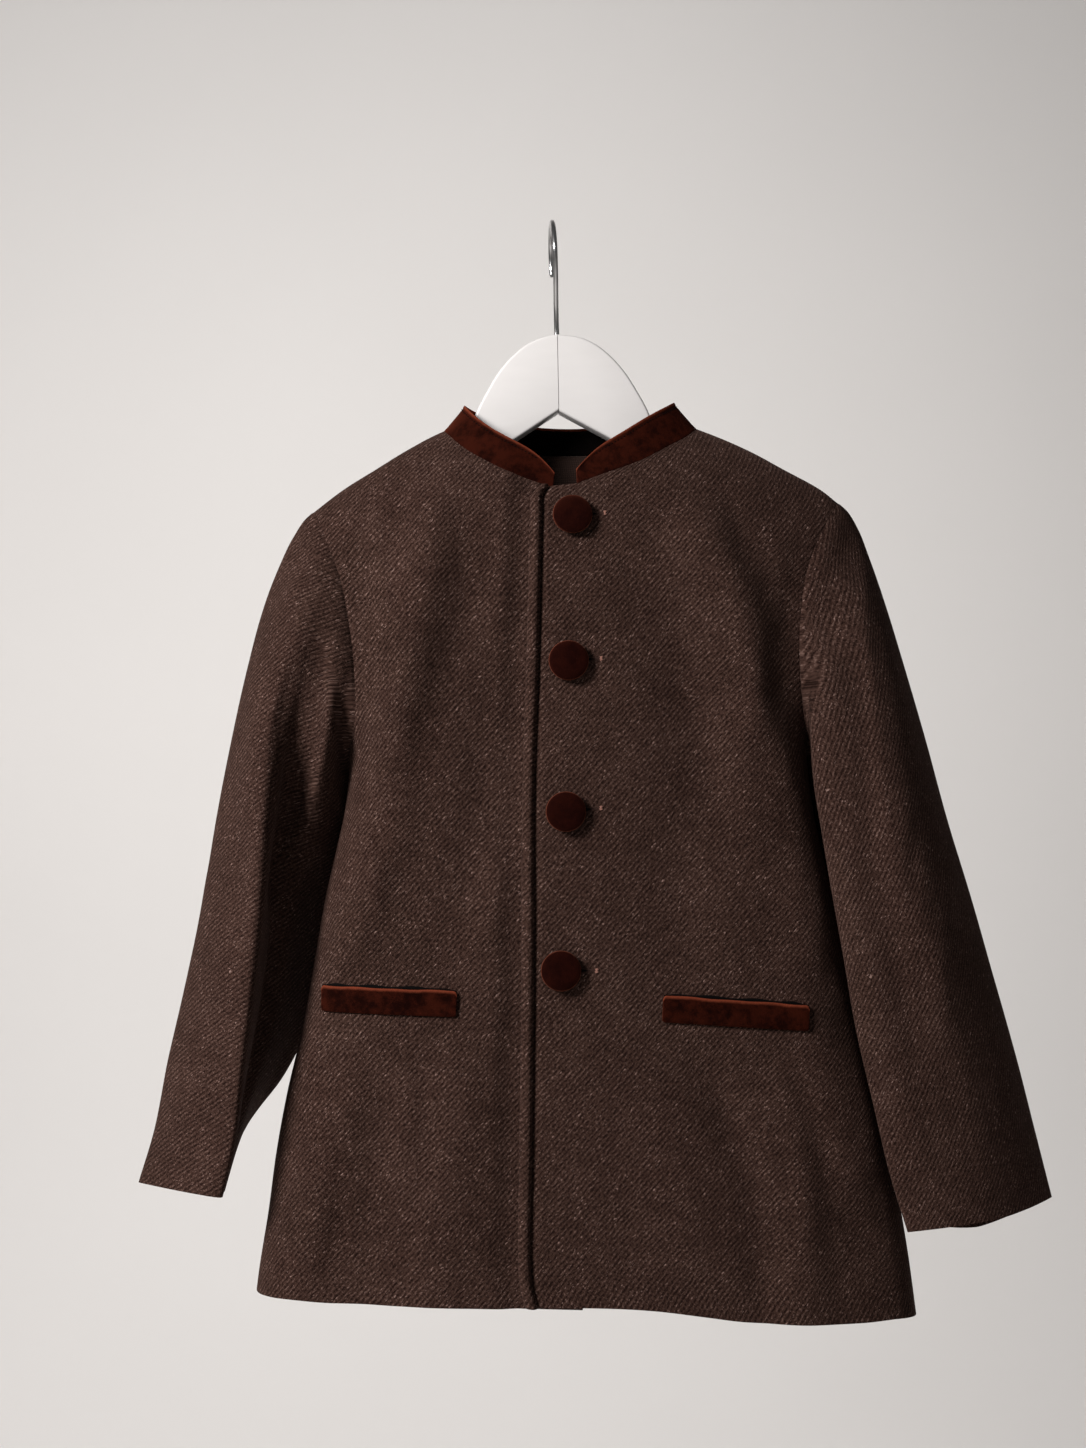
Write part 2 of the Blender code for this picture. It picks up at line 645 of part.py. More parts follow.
def section_ring(row, side):
    """One section of a sleeve: its named points, joined by a smooth closed curve."""
    named = dict(zip(SLEEVE_COLUMNS, row))
    points = []
    for name, share in ROUND_FRONT.items():
        z = named["top"] + share * (named["bottom"] - named["top"])
        points.append((*named[name], z))
    z = (named["top"] + named["bottom"]) / 2 - named["drop"]
    points.append((*named["back"], z))
    keys = list(ROUND_FRONT.values()) + [1.5, 2.0]
    ring = np.array(points)
    around = np.vstack([ring[-1], ring, ring[0], ring[1]])
    dense, place = [], []
    for i in range(1, len(ring) + 1):
        for t in np.linspace(0, 1, SPLINE_STEPS, endpoint=False):
            dense.append(smooth_step(around, i, t))
            place.append(keys[i - 1] + t * (keys[i] - keys[i - 1]))
    dense.append(ring[0])
    place.append(2.0)
    dense = np.array(dense)
    return np.stack([np.interp(ring_places(), place, dense[:, k]) for k in range(3)], axis=-1)


def sleeve_grid(side, hole):
    """A sleeve's outer grid from the armhole to the cuff."""
    rings = np.array([hole] + [section_ring(row, side) for row in SLEEVE[side]])
    rows, cols = rings.shape[:2]
    grid = np.zeros((SLEEVE_ROWS + 1, cols, 3))
    share = np.linspace(0, 1, SLEEVE_ROWS + 1) ** SLEEVE_ROWS_CLOSER
    for c in range(cols):
        ends = np.vstack([2 * rings[0, c] - rings[1, c], rings[:, c],
                          2 * rings[-1, c] - rings[-2, c]])
        for r, place in enumerate(share * (rows - 1)):
            i = min(int(place), rows - 2)
            grid[r, c] = smooth_step(ends, i + 1, place - i)
    return grid


def make_sleeve(side, grids, facing, group, finish):
    """A set-in sleeve, whose edge meets the armhole's with a seam's gap."""
    hole, hole_normals, away = armhole_ring(side, grids, facing)
    outer = sleeve_grid(side, hole)
    normals = normals_of(outer, closed=True)
    centre = outer.mean(axis=1, keepdims=True)
    if np.sum(normals * (outer - centre)) < 0:
        normals = -normals
    inner = seam_start(outer, normals, hole_normals, away)
    sewn_wall("sleeve_" + side, outer, inner, group, finish, closed=True)


def neck_edge(grids, facing):
    """The neck edge from the right front's collar end, round the back, to the left's."""
    first, last = COLUMNS["shoulder"], COLUMNS["shoulder"] + COLUMNS["neck"]
    back_first, back_last = first, first + COLUMNS["back_neck"]
    pieces = []
    for name, picked in (("front_right", list(range(last, first - 1, -1))),
                         ("back", list(range(back_first + 1, back_last))),
                         ("front_left", list(range(first, last + 1)))):
        pieces.append((grids[name][0, picked], facing[name][0, picked], grids[name][1, picked]))
    return tuple(np.vstack([piece[k] for piece in pieces]) for k in range(3))


def collar_grid(grids, facing):
    """The collar's outer grid, its rows from the neck edge up."""
    edge, edge_normals, below = neck_edge(grids, facing)
    far = lengths(edge)
    share = far / far[-1]
    inward = np.array([BODY_AXIS, COLLAR_CENTRE_Y, 0.0]) - edge
    inward[:, 2] = 0
    inward = unit(inward)
    sideways = np.abs(inward[:, :1])
    lean = COLLAR_LEAN + COLLAR_LEAN_SIDE * sideways
    rise = unit(inward * lean + np.array([0, 0, 1.0]))
    at_back = ease(1 - np.abs(share - 0.5) / COLLAR_BACK_SHARE)
    height = COLLAR_HEIGHT + (COLLAR_HEIGHT_BACK - COLLAR_HEIGHT) * at_back
    height = height + COLLAR_TALLER * np.exp(-((share - COLLAR_TALLER_AT) / COLLAR_TALLER_HALF) ** 2)
    from_end = np.minimum(far, far[-1] - far)
    into = np.clip(1 - from_end / COLLAR_END_ROUND, 0, 1)
    height = height - COLLAR_END_ROUND * (1 - np.sqrt(1 - into ** 2))
    away = away_from(edge, below, closed=False)
    for corner in (COLUMNS["neck"], COLUMNS["neck"] + COLUMNS["back_neck"]):
        away[corner] = unit(away[corner - 1] + away[corner + 1])
    rows = [edge + rise * height[:, None] * k / COLLAR_ROWS for k in range(COLLAR_ROWS + 1)]
    return np.array(rows), edge_normals, away


def inside_layer(name, under, normals, thick, group, finish):
    """A thin layer lying just inside an inner grid."""
    outer = under - normals * SEAM
    inner = outer - normals * thick
    return sewn_wall(name, outer, inner, group, finish)


def make_collar(grids, facing, group, finish, inner_finish):
    """The velvet stand collar and the black facing inside it."""
    outer, edge_normals, away_from_neck = collar_grid(grids, facing)
    normals = normals_of(outer)
    centre = np.array([BODY_AXIS, 0.0, 0.0])
    away = outer - centre
    away[..., 2] = 0
    if np.sum(normals * away) < 0:
        normals = -normals
    inner = seam_start(outer, normals, edge_normals, away_from_neck)
    sewn_wall("collar", outer, inner, group, finish)
    start = inner[0] + (inner[1] - inner[0]) * COLLAR_FACING_FROM
    lining = np.vstack([start[None], inner[1:]])[:, 1:-1]
    inside_layer("collar_facing", lining, normals[:, 1:-1], LINING, group, inner_finish)


def make_neck_facing(grids, facing, group, finish):
    """The facing inside the back of the neck."""
    first = COLUMNS["shoulder"]
    picked = slice(first + 1, first + COLUMNS["back_neck"])
    under = grids["back"][:NECK_FACING_ROWS + 1, picked]
    normals = facing["back"][:NECK_FACING_ROWS + 1, picked]
    inside_layer("neck_facing", under - normals * CLOTH, normals, LINING, group, finish)


def on_panel(tree, x, z):
    """The panel's own surface in front of (x, z), and which way it faces."""
    hit, normal, _, _ = tree.ray_cast(Vector((x, -WELL_IN_FRONT, z)) * MM, Vector(-FORWARD))
    return np.array(hit) / MM, np.array(normal)


def panel_tree(panel):
    """The panel's faces, ready to be met by a line."""
    mesh = panel.data
    return BVHTree.FromPolygons([v.co.copy() for v in mesh.vertices],
                                [tuple(p.vertices) for p in mesh.polygons])


def make_welt(side, panel, group, finish):
    """A pocket welt: a strip made from the panel's points, moved out."""
    tree = panel_tree(panel)
    corners = np.array(WELTS[side], float)
    rows = []
    for down in (0, 0.5, 1):
        row = []
        for across in np.linspace(0, 1, WELT_STEPS + 1):
            upper = corners[0] + (corners[1] - corners[0]) * across
            lower = corners[3] + (corners[2] - corners[3]) * across
            x, z = upper + (lower - upper) * down
            row.append(on_panel(tree, x, z)[0])
        rows.append(row)
    inner = np.array(rows) + FORWARD * WELT_GAP
    outer = inner + FORWARD * WELT_THICK
    sewn_wall("welt_" + side, outer, inner, group, finish)


def make_button(number, place, panel, group, finish):
    """A velvet covered button on its shank, turned about its own axis."""
    hit, normal = on_panel(panel_tree(panel), *place)
    top = BUTTON_STAND + BUTTON_THICK
    dome = [(BUTTON_RADIUS * math.cos(a), top - BUTTON_DOME * (1 - math.sin(a)))
            for a in np.linspace(0, math.pi / 2, BUTTON_DOME_STEPS)]
    profile = [(0.0, 0.0), (BUTTON_SHANK, 0.0), (BUTTON_SHANK, BUTTON_STAND),
               (BUTTON_RADIUS - BUTTON_EDGE, BUTTON_STAND),
               (BUTTON_RADIUS, BUTTON_STAND + BUTTON_EDGE)]
    profile += dome[1:-1] + [(0.0, top)]
    mesh = bpy.data.meshes.new("button_%d" % number)
    points = [(r * MM, 0, h * MM) for r, h in reversed(profile)]
    mesh.from_pydata(points, [(k, k + 1) for k in range(len(points) - 1)], [])
    made = bpy.data.objects.new("button_%d" % number, mesh)
    group.objects.link(made)
    mesh.materials.append(finish)
    turn = made.modifiers.new("turn", "SCREW")
    turn.steps = BUTTON_SIDES
    turn.render_steps = BUTTON_SIDES
    turn.use_merge_vertices = True
    turn.merge_threshold = 0.00001
    turn.use_normal_calculate = True
    turn.use_smooth_shade = True
    made.location = Vector(hit * MM) + Vector(normal) * SEAM * MM
    made.rotation_mode = "QUATERNION"
    made.rotation_quaternion = Vector(normal).to_track_quat("Z", "Y")


def arm_top(side):
    """The wood's upper edge under the cloth of a shoulder, from the neck outward."""
    line = spline(SHOULDER[side], ARM_STEPS)[::-1]
    reach = abs(ARM_END[side][0]) - ARM_TIP_ROUND - 1
    return [(x, z - WOOD_BELOW_SHOULDER) for x, z in line if abs(x) < reach]


def make_hanger_half(side, group, cutters, finish):
    """One mitred half of the wooden hanger, cut for the hook's shank."""
    sign = 1 if side == "left" else -1
    joint = JOINT_X + sign * JOINT_GAP / 2
    end = ARM_END[side]
    top = arm_top(side)
    outline = [(joint, DOME_TOP)]
    outline += [(HANGER_AXIS + sign * half, z) for half, z in DOME]
    outline += [(x, z) for x, z in top]
    tip_z = np.interp(end[0] * sign, *np.array([(sign * x, z - WOOD_BELOW_SHOULDER)
                                                for x, z in SHOULDER[side]])[::-1].T)
    inside = end[0] - sign * ARM_TIP_ROUND
    outline += [(inside, tip_z + ARM_TIP_ROUND / 2), (end[0], tip_z - ARM_TIP_ROUND),
                (end[0], end[1] + ARM_TIP_ROUND), (inside, end[1])]
    outline += [(HANGER_AXIS + sign * half, z) for half, z in reversed(LOWER_EDGE)]
    outline += [(joint, NOTCH)]
    mesh = bpy.data.meshes.new("hanger_" + side)
    build = bmesh.new()
    build.faces.new([build.verts.new((x * MM, -WOOD / 2 * MM, z * MM)) for x, z in outline])
    bmesh.ops.recalc_face_normals(build, faces=build.faces)
    if build.faces[:][0].normal.y < 0:
        bmesh.ops.reverse_faces(build, faces=build.faces)
    build.to_mesh(mesh)
    build.free()
    made = mesh_object("hanger_" + side, mesh, group, finish)
    thick = made.modifiers.new("thickness", "SOLIDIFY")
    thick.thickness = WOOD * MM
    thick.offset = 1
    edge = made.modifiers.new("rounded", "BEVEL")
    edge.width = WOOD_EDGE * MM
    edge.segments = 2
    edge.limit_method = "ANGLE"
    edge.angle_limit = math.radians(50)
    bpy.ops.mesh.primitive_cylinder_add(vertices=16, radius=(WIRE + BORE_CLEARANCE) * MM,
                                        depth=(DOME_TOP - BORE_BOTTOM + BORE_ABOVE) * MM)
    cutter = bpy.context.active_object
    cutter.name = "bore_" + side
    cutter.location = (JOINT_X * MM, 0, (DOME_TOP + BORE_ABOVE + BORE_BOTTOM) / 2 * MM)
    for holder in list(cutter.users_collection):
        holder.objects.unlink(cutter)
    cutters.objects.link(cutter)
    cutter.hide_render = True
    cutter.display_type = "WIRE"
    bore = made.modifiers.new("bore", "BOOLEAN")
    bore.object = cutter
    bore.operation = "DIFFERENCE"
    bore.solver = "EXACT"


def make_hook(group, finish):
    """The steel hook: a shank up out of the joint, then a loop over the rail."""
    radius = HOOK_RADIUS + WIRE
    turns = [math.radians(a) for a in range(0, HOOK_TIP_TURN + 1, HOOK_STEP_TURN)]
    loop = [(-radius * math.cos(a), radius * math.sin(a) - HOOK_RADIUS) for a in turns]
    path = spline(list(HOOK_RISE) + loop, HOOK_STEPS)
    curve = bpy.data.curves.new("hanger_hook", "CURVE")
    curve.dimensions = "3D"
    curve.bevel_depth = WIRE * MM
    curve.bevel_resolution = 2
    curve.use_fill_caps = True
    line = curve.splines.new("POLY")
    line.points.add(len(path) - 1)
    for point, (y, z) in zip(line.points, path):
        lean = JOINT_X * np.clip(z / HOOK_LEANS_ABOVE, 0, 1)
        point.co = (lean * MM, y * MM, z * MM, 1)
    curve.materials.append(finish)
    made = bpy.data.objects.new("hanger_hook", curve)
    group.objects.link(made)


def main():
    """Clear the scene and make every piece."""
    for old in list(bpy.data.objects):
        bpy.data.objects.remove(old)
    group, cutters = collections()
    cloth = material("wool twill", "cloth", 0.95)
    velvet = material("velvet", "velvet", 0.85)
    black = material("black velvet", "velvet_dark", 0.9)
    taupe = material("neck facing", "facing", 0.95)
    wood = material("white painted wood", "wood", 0.4)
    steel = material("bright steel", "steel", 0.25, 1.0)
    grids, facing = body_panels()
    panels = {}
    for name, grid in grids.items():
        edge = seam_shift(grid, name)
        inner = edge - facing[name] * CLOTH
        outer = roll_edge(edge, facing[name]) if name == "front_left" else edge
        panels[name] = sewn_wall(name, outer, inner, group, cloth)
    for side in ("right", "left"):
        make_sleeve(side, grids, facing, group, cloth)
        make_welt(side, panels["front_" + side], group, velvet)
        make_hanger_half(side, group, cutters, wood)
    make_collar(grids, facing, group, velvet, black)
    make_neck_facing(grids, facing, group, taupe)
    for number, place in enumerate(BUTTONS, 1):
        make_button(number, place, panels["front_left"], group, velvet)
    make_hook(group, steel)


main()
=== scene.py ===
"""Looks of a child's wool twill jacket with a velvet stand collar, on a white wooden hanger.

The origin is the seat of the hanger's hook, +Z is up and the front faces -Y. Left and right are the
wearer's. Shapes are in millimetres, their tables as (x, z) or (x, y), and MM makes
them metres. The sizes in a finish and the places on the flat cloth are in metres.
"""
import math

import bmesh
import bpy
import numpy as np
from mathutils import Matrix, Vector
from mathutils.bvhtree import BVHTree


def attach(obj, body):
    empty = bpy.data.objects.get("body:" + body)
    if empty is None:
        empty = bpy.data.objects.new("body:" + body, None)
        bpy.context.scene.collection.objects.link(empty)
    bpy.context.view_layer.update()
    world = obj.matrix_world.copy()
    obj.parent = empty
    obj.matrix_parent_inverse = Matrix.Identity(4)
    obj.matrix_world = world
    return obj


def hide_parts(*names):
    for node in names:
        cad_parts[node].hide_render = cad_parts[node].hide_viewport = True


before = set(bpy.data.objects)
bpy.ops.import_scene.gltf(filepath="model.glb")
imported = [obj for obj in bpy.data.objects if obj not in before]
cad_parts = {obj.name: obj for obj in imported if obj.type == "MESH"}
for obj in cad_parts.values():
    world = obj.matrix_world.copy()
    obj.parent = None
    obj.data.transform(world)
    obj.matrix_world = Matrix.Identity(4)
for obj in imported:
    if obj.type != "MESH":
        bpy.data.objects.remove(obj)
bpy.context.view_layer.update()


# The hook: one bright drawn wire, 2.8 mm thick, let into the hanger's joint. It is bowed
# on its way up and bent round into a loop, and its cut end is filed smooth.
MM = 0.001
WIRE = 1.4
HOOK_RISE = ((0.0, -83.0), (0.0, -70), (0.0, -60), (-4, -48), (-13.5, -34))
HOOK_LEANS_ABOVE = -60.0
HOOK_RADIUS = 18.5
HOOK_TIP_TURN = 205
HOOK_STEP_TURN = 15
JOINT_X = 1.7
HOOK_STEPS = 150
FILED_END = (0.93, 0.75, 0.35)
SPLINE_STEPS = 24
BRIGHT_STEEL = (0.60, 0.60, 0.60)
DRAWN_LINE = 0.0006
DRAWN_OUT = 0.06
DRAWN_DEEP = 0.00002


def smooth_step(ring, i, t):
    """A place between two neighbouring points of a centripetal curve."""
    a, b, c, d = ring[i - 1:i + 3]
    k = [0.0]
    for p, q in ((a, b), (b, c), (c, d)):
        k.append(k[-1] + max(math.sqrt(np.linalg.norm(q - p)), 1e-6))
    s = k[1] + t * (k[2] - k[1])
    ab = a + (b - a) * (s - k[0]) / (k[1] - k[0])
    bc = b + (c - b) * (s - k[1]) / (k[2] - k[1])
    cd = c + (d - c) * (s - k[2]) / (k[3] - k[2])
    abc = ab + (bc - ab) * (s - k[0]) / (k[2] - k[0])
    bcd = bc + (cd - bc) * (s - k[1]) / (k[3] - k[1])
    return abc + (bcd - abc) * (s - k[1]) / (k[2] - k[1])


def lengths(line):
    """How far along the line each of its points lies."""
    steps = np.linalg.norm(np.diff(line, axis=0), axis=1)
    return np.concatenate([[0.0], np.cumsum(steps)])


def read_at(line, far, want):
    """A line whose points lie far along it, read at the places wanted."""
    return np.stack([np.interp(want, far, line[:, k]) for k in range(line.shape[1])], axis=-1)


def along(line, fractions):
    """The line read at fractions of its length."""
    far = lengths(line)
    return read_at(line, far, np.asarray(fractions) * far[-1])


def spline(points, count):
    """A smooth curve through the points, read at count evenly spaced places."""
    points = np.asarray(points, float)
    ring = np.vstack([2 * points[0] - points[1], points, 2 * points[-1] - points[-2]])
    dense = [smooth_step(ring, i, t) for i in range(1, len(ring) - 2)
             for t in np.linspace(0, 1, SPLINE_STEPS, endpoint=False)]
    dense.append(ring[-2])
    return along(np.array(dense), np.linspace(0, 1, count))


class Finish:
    """A surface's finish: one shader and the textures that feed it."""

    def __init__(self, name, **settings):
        self.material = bpy.data.materials.new(name)
        self.material.use_nodes = True
        self.tree = self.material.node_tree
        self.shader = self.tree.nodes["Principled BSDF"]
        for socket, value in settings.items():
            self.feed(self.shader, socket.replace("_", " "), value)

    def feed(self, node, socket, value):
        """Sets one of a node's sockets, or links another node's output to it."""
        into = node.inputs[socket]
        if isinstance(value, bpy.types.NodeSocket):
            self.tree.links.new(value, into)
        elif isinstance(value, (tuple, list)) and len(value) == 3 and into.type == "RGBA":
            into.default_value = (*value, 1)
        else:
            into.default_value = value

    def node(self, kind, sockets=(), **settings):
        """A new node with its settings and its sockets' values, as (socket, value) pairs."""
        made = self.tree.nodes.new("ShaderNode" + kind)
        for name, value in settings.items():
            setattr(made, name, value)
        for socket, value in sockets:
            self.feed(made, socket, value)
        return made

    def here(self, kind="Object"):
        """The place on the piece, or its UV on the flat cloth."""
        return self.node("TexCoord").outputs[kind]

    def longer(self, place, scale):
        """The place, scaled so that what is woven or drawn there runs longer one way."""
        return self.node("Mapping", [("Vector", place), ("Scale", scale)]).outputs[0]

    def sum(self, operation, *values):
        """One step of arithmetic on numbers or outputs."""
        return self.node("Math", list(enumerate(values)), operation=operation).outputs[0]

    def blend(self, share, first, second):
        """A colour between two colours."""
        made = self.node("Mix", [(0, share), (6, first), (7, second)], data_type="RGBA")
        return made.outputs[2]

    def step(self, value, low, high):
        """A smooth ramp from 0 at low to 1 at high."""
        made = self.node("MapRange", [("Value", value), ("From Min", low), ("From Max", high)],
                         interpolation_type="SMOOTHSTEP")
        return made.outputs["Result"]

    def noise(self, place, size, detail=2.0):
        """Soft noise with spots about the given size across, from 0 to 1."""
        made = self.node("TexNoise", [("Vector", place), ("Scale", 1 / size), ("Detail", detail)])
        return made.outputs["Fac"]

    def relief(self, height, deep):
        """Lets a height from 0 to 1 raise the surface by deep metres."""
        made = self.node("Bump", [("Height", height), ("Distance", deep), ("Strength", 1.0)])
        self.feed(self.shader, "Normal", made.outputs["Normal"])


def in_scene(name, data):
    """A new object in the scene with this mesh, curve, light or camera."""
    made = bpy.data.objects.new(name, data)
    bpy.context.scene.collection.objects.link(made)
    return made


def place_on(piece, node, finish):
    """Puts a finished piece on the body, in the place of its plain solid."""
    piece.data.materials.clear()
    piece.data.materials.append(finish.material)
    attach(piece, "root")
    if node:
        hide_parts(node)
    return piece


def wire(name, points, radius, ends=(), around=4):
    """A round wire or thread along points in millimetres, thinned at its far end."""
    curve = bpy.data.curves.new(name, "CURVE")
    curve.dimensions = "3D"
    curve.bevel_depth = radius * MM
    curve.bevel_resolution = around
    curve.use_fill_caps = True
    line = curve.splines.new("POLY")
    line.points.add(len(points) - 1)
    for point, place in zip(line.points, points):
        point.co = (*(np.asarray(place) * MM), 1)
    for point, thin in zip(reversed(line.points[:]), reversed(ends)):
        point.radius = thin
    return in_scene(name, curve)


radius = HOOK_RADIUS + WIRE
turns = [math.radians(a) for a in range(0, HOOK_TIP_TURN + 1, HOOK_STEP_TURN)]
loop = [(-radius * math.cos(a), radius * math.sin(a) - HOOK_RADIUS) for a in turns]
hook_path = [(JOINT_X * min(max(z / HOOK_LEANS_ABOVE, 0), 1), y, z)
             for y, z in spline(list(HOOK_RISE) + loop, HOOK_STEPS)]
steel = Finish("drawn steel wire", Base_Color=BRIGHT_STEEL, Metallic=1.0)
drawn = steel.noise(steel.longer(steel.here(), (1, 1, DRAWN_OUT)), DRAWN_LINE)
steel.feed(steel.shader, "Roughness", steel.sum("MULTIPLY_ADD", drawn, 0.12, 0.16))
steel.relief(drawn, DRAWN_DEEP)
place_on(wire("hook_wire", hook_path, WIRE, FILED_END), "hanger_hook", steel)


# The hanger: two halves of beech, sawn to shape, rounded along their edges and glued at a
# mitre under the hook, then sprayed white. Only the dome and the notch below it show.
HANGER_AXIS = 3.6
JOINT_GAP = 0.3
WOOD = 12.0
WOOD_EDGE = 1.6
WOOD_BELOW_SHOULDER = 5.4
DOME = ((11, -64.2), (20, -68.5), (28.3, -75.5), (35.3, -83.8), (41.3, -93.5), (47.6, -105.5),
        (51, -115), (57, -121.4))
DOME_TOP = -62.3
NOTCH = -105.5
LOWER_EDGE = ((24.2, -119.9), (66, -146), (105, -166))
ARM_END = {"right": (-127, -172), "left": (148, -171)}
ARM_TIP_ROUND = 3.0
DOME_STEPS = 36
ARM_STEPS = 30
EDGE_SHARPER_THAN = 25
SMOOTH_BELOW = 35
MITRE_KEPT_SHARP = 0.5
EDGE_SEGMENTS = 4
PAINT = {"shaded": (0.65, 0.635, 0.625), "clean": (0.69, 0.675, 0.665)}
PAINT_DEEP = 0.00008
GRAIN = 0.02
GRAIN_NARROWED = 4
SPRAY_MIST = 0.0012
SHOULDER = {
    "right": ((-133.9, -159.5), (-118, -147.5), (-100, -136.4), (-82, -125.5), (-62.6, -115.6)),
    "left": ((156.1, -157.8), (147, -150.4), (127, -139), (106, -127.4), (79, -115.8)),
}


def hanger_half(side):
    """One half: its outline in (x, z), thickened and rounded along its edges."""
    sign = 1 if side == "left" else -1
    joint = JOINT_X + sign * JOINT_GAP / 2
    dome = spline([(joint, DOME_TOP)] + [(HANGER_AXIS + sign * half, z) for half, z in DOME],
                  DOME_STEPS)
    end = ARM_END[side]
    inside = end[0] - sign * ARM_TIP_ROUND
    top = spline(SHOULDER[side], ARM_STEPS)[::-1] - (0, WOOD_BELOW_SHOULDER)
    arm = [point for point in top if sign * DOME[-1][0] + HANGER_AXIS < sign * point[0]
           and sign * point[0] < sign * inside - 1 and point[1] < DOME[-1][1]]
    tip_z = arm[-1][1] - ARM_TIP_ROUND / 2
    outline = list(dome) + arm
    outline += [(inside, tip_z), (end[0], tip_z - ARM_TIP_ROUND), (end[0], end[1] + ARM_TIP_ROUND),
                (inside, end[1])]
    outline += [(HANGER_AXIS + sign * half, z) for half, z in reversed(LOWER_EDGE)]
    outline += [(joint, NOTCH)]
    build = bmesh.new()
    face = build.faces.new([build.verts.new((x * MM, -WOOD / 2 * MM, z * MM)) for x, z in outline])
    face.normal_update()
    if face.normal.y > 0:
        face.normal_flip()
    back = bmesh.ops.extrude_face_region(build, geom=[face])["geom"]
    bmesh.ops.translate(build, vec=(0, WOOD * MM, 0),
                        verts=[v for v in back if isinstance(v, bmesh.types.BMVert)])
    bmesh.ops.recalc_face_normals(build, faces=build.faces)
    sharp = [e for e in build.edges if e.calc_face_angle(0) > math.radians(EDGE_SHARPER_THAN)
             and max(abs(v.co.x - joint * MM) for v in e.verts) > MITRE_KEPT_SHARP * MM]
    bmesh.ops.bevel(build, geom=sharp, offset=WOOD_EDGE * MM, segments=EDGE_SEGMENTS,
                    profile=0.5, affect="EDGES", clamp_overlap=True)
    mesh = bpy.data.meshes.new("wood_" + side)
    build.to_mesh(mesh)
    build.free()
    mesh.shade_smooth()
    mesh.set_sharp_from_angle(angle=math.radians(SMOOTH_BELOW))
    return in_scene("wood_" + side, mesh)


paint = Finish("white sprayed paint", Coat_Weight=0.25, Coat_Roughness=0.25)
here = paint.here()
grain = paint.noise(paint.longer(here, (1, 1, GRAIN_NARROWED)), GRAIN, 4)
mist = paint.noise(here, SPRAY_MIST, 3)
paint.feed(paint.shader, "Base Color", paint.blend(grain, PAINT["shaded"], PAINT["clean"]))
paint.feed(paint.shader, "Roughness", paint.sum("MULTIPLY_ADD", mist, 0.15, 0.34))
paint.relief(paint.sum("MULTIPLY_ADD", grain, 0.6, paint.sum("MULTIPLY", mist, 0.25)),
             PAINT_DEEP)
for side in ("right", "left"):
    place_on(hanger_half(side), "hanger_" + side, paint)


# The body: a back and two fronts of brown wool twill, 2.4 mm thick, sewn at the shoulders
# and sides. The wearer's left front laps over the right one, and its edge is turned in
# and sewn 7 mm from the fold, so that it stands as a soft roll beside a groove.
FORWARD = np.array([0.0, -1.0, 0.0])
CLOTH = 2.4
SEAM = 0.3
SEAM_CLOSED = 0.04
LAP_STEP = 3.4
LAP_STARTS = 16.0
LAP_RAMP = 13.0
BODY_AXIS = 8.7
SECTION_POWER = 2.6
FALL = 34.0
SHOULDER_ROUND = 8.0
FOLDS_BELOW_TOP = 40.0
FOLDS_AT_SIDE = 1.6
CREASES_BELOW_TOP = 14.0
CREASES_RAISED = 1.55
DEEP = {"front": 42.0, "back": 29.0}
TOP_LINE = ((-152, -174), *SHOULDER["right"], (-30, -106), (8.5, -102), (47, -106),
            *reversed(SHOULDER["left"]), (174, -172))
# The body's widest x at each height, as (z, right side, left side)
SIDE_LINE = (
    (-150, -149, 171), (-159, -146, 168), (-200, -138, 155), (-234, -133, 149.5),
    (-274, -123.5, 141), (-292, -117, 135), (-324, -119.5, 136.3), (-346, -124.5, 140),
    (-373, -131, 146), (-405, -137, 152), (-443, -144.5, 159.5), (-475, -152.5, 167),
    (-507, -158.8, 173.5), (-539, -163.5, 178.5), (-571, -169, 183), (-605, -173, 186.7),
)
ARMHOLE = {
    ("right", "front"): ((-133.9, -159.5), (-127, -178), (-119, -201), (-113.4, -234),
                         (-111.6, -262), (-112.4, -278), (-114.4, -287), (-117, -292)),
    ("right", "back"): ((-133.9, -159.5), (-129, -180), (-124, -203), (-120, -234),
                        (-117.5, -262), (-116.5, -280), (-117, -292)),
    ("left", "front"): ((156.1, -157.8), (144, -176), (133.4, -199), (128.2, -227),
                        (127.3, -250), (128.4, -270), (131, -286), (135, -296)),
    ("left", "back"): ((156.1, -157.8), (149, -179), (143, -203), (138, -234),
                       (135, -262), (134.3, -282), (135, -296)),
}
BELOW_UNDERARM = SIDE_LINE[6:-1]
SIDE_SEAM = {
    "right": ((-117, -292), *((x, z) for z, x, _ in BELOW_UNDERARM), (-170.4, -580)),
    "left": ((135, -296), *((x, z) for z, _, x in BELOW_UNDERARM), (186.7, -602.5)),
}
NECKLINE = {
    "right": ((-62.6, -115.6), (-55.6, -124.9), (-48, -132), (-32, -142.3), (-16, -149.3),
              (-4, -153.6)),
    "left": ((79, -115.8), (70.4, -123.4), (61.6, -128.8), (44, -138.8), (21.6, -147.3),
             (8.8, -152.2)),
}
NECK_END = {
    "right": ((-4, -153.6), (6, -154.6), (17, -155)),
    "left": ((8.8, -152.2), (-2, -153.2), (-9, -153.4), (-12.8, -154)),
}
BACK_NECK = ((-62.6, -115.6), (-48, -120.6), (-22, -124), (8.5, -125), (38, -124),
             (64, -120.6), (79, -115.8))
FRONT_EDGE = {
    "right": ((17, -155), (15, -250), (13, -330), (10, -410), (6, -498), (2.5, -587)),
    "left": ((-12.8, -154), (-16.4, -159), (-17.2, -170), (-20.8, -248), (-24.5, -327),
             (-26.3, -410), (-28.9, -498), (-30.4, -572), (-27.5, -584.6)),
}
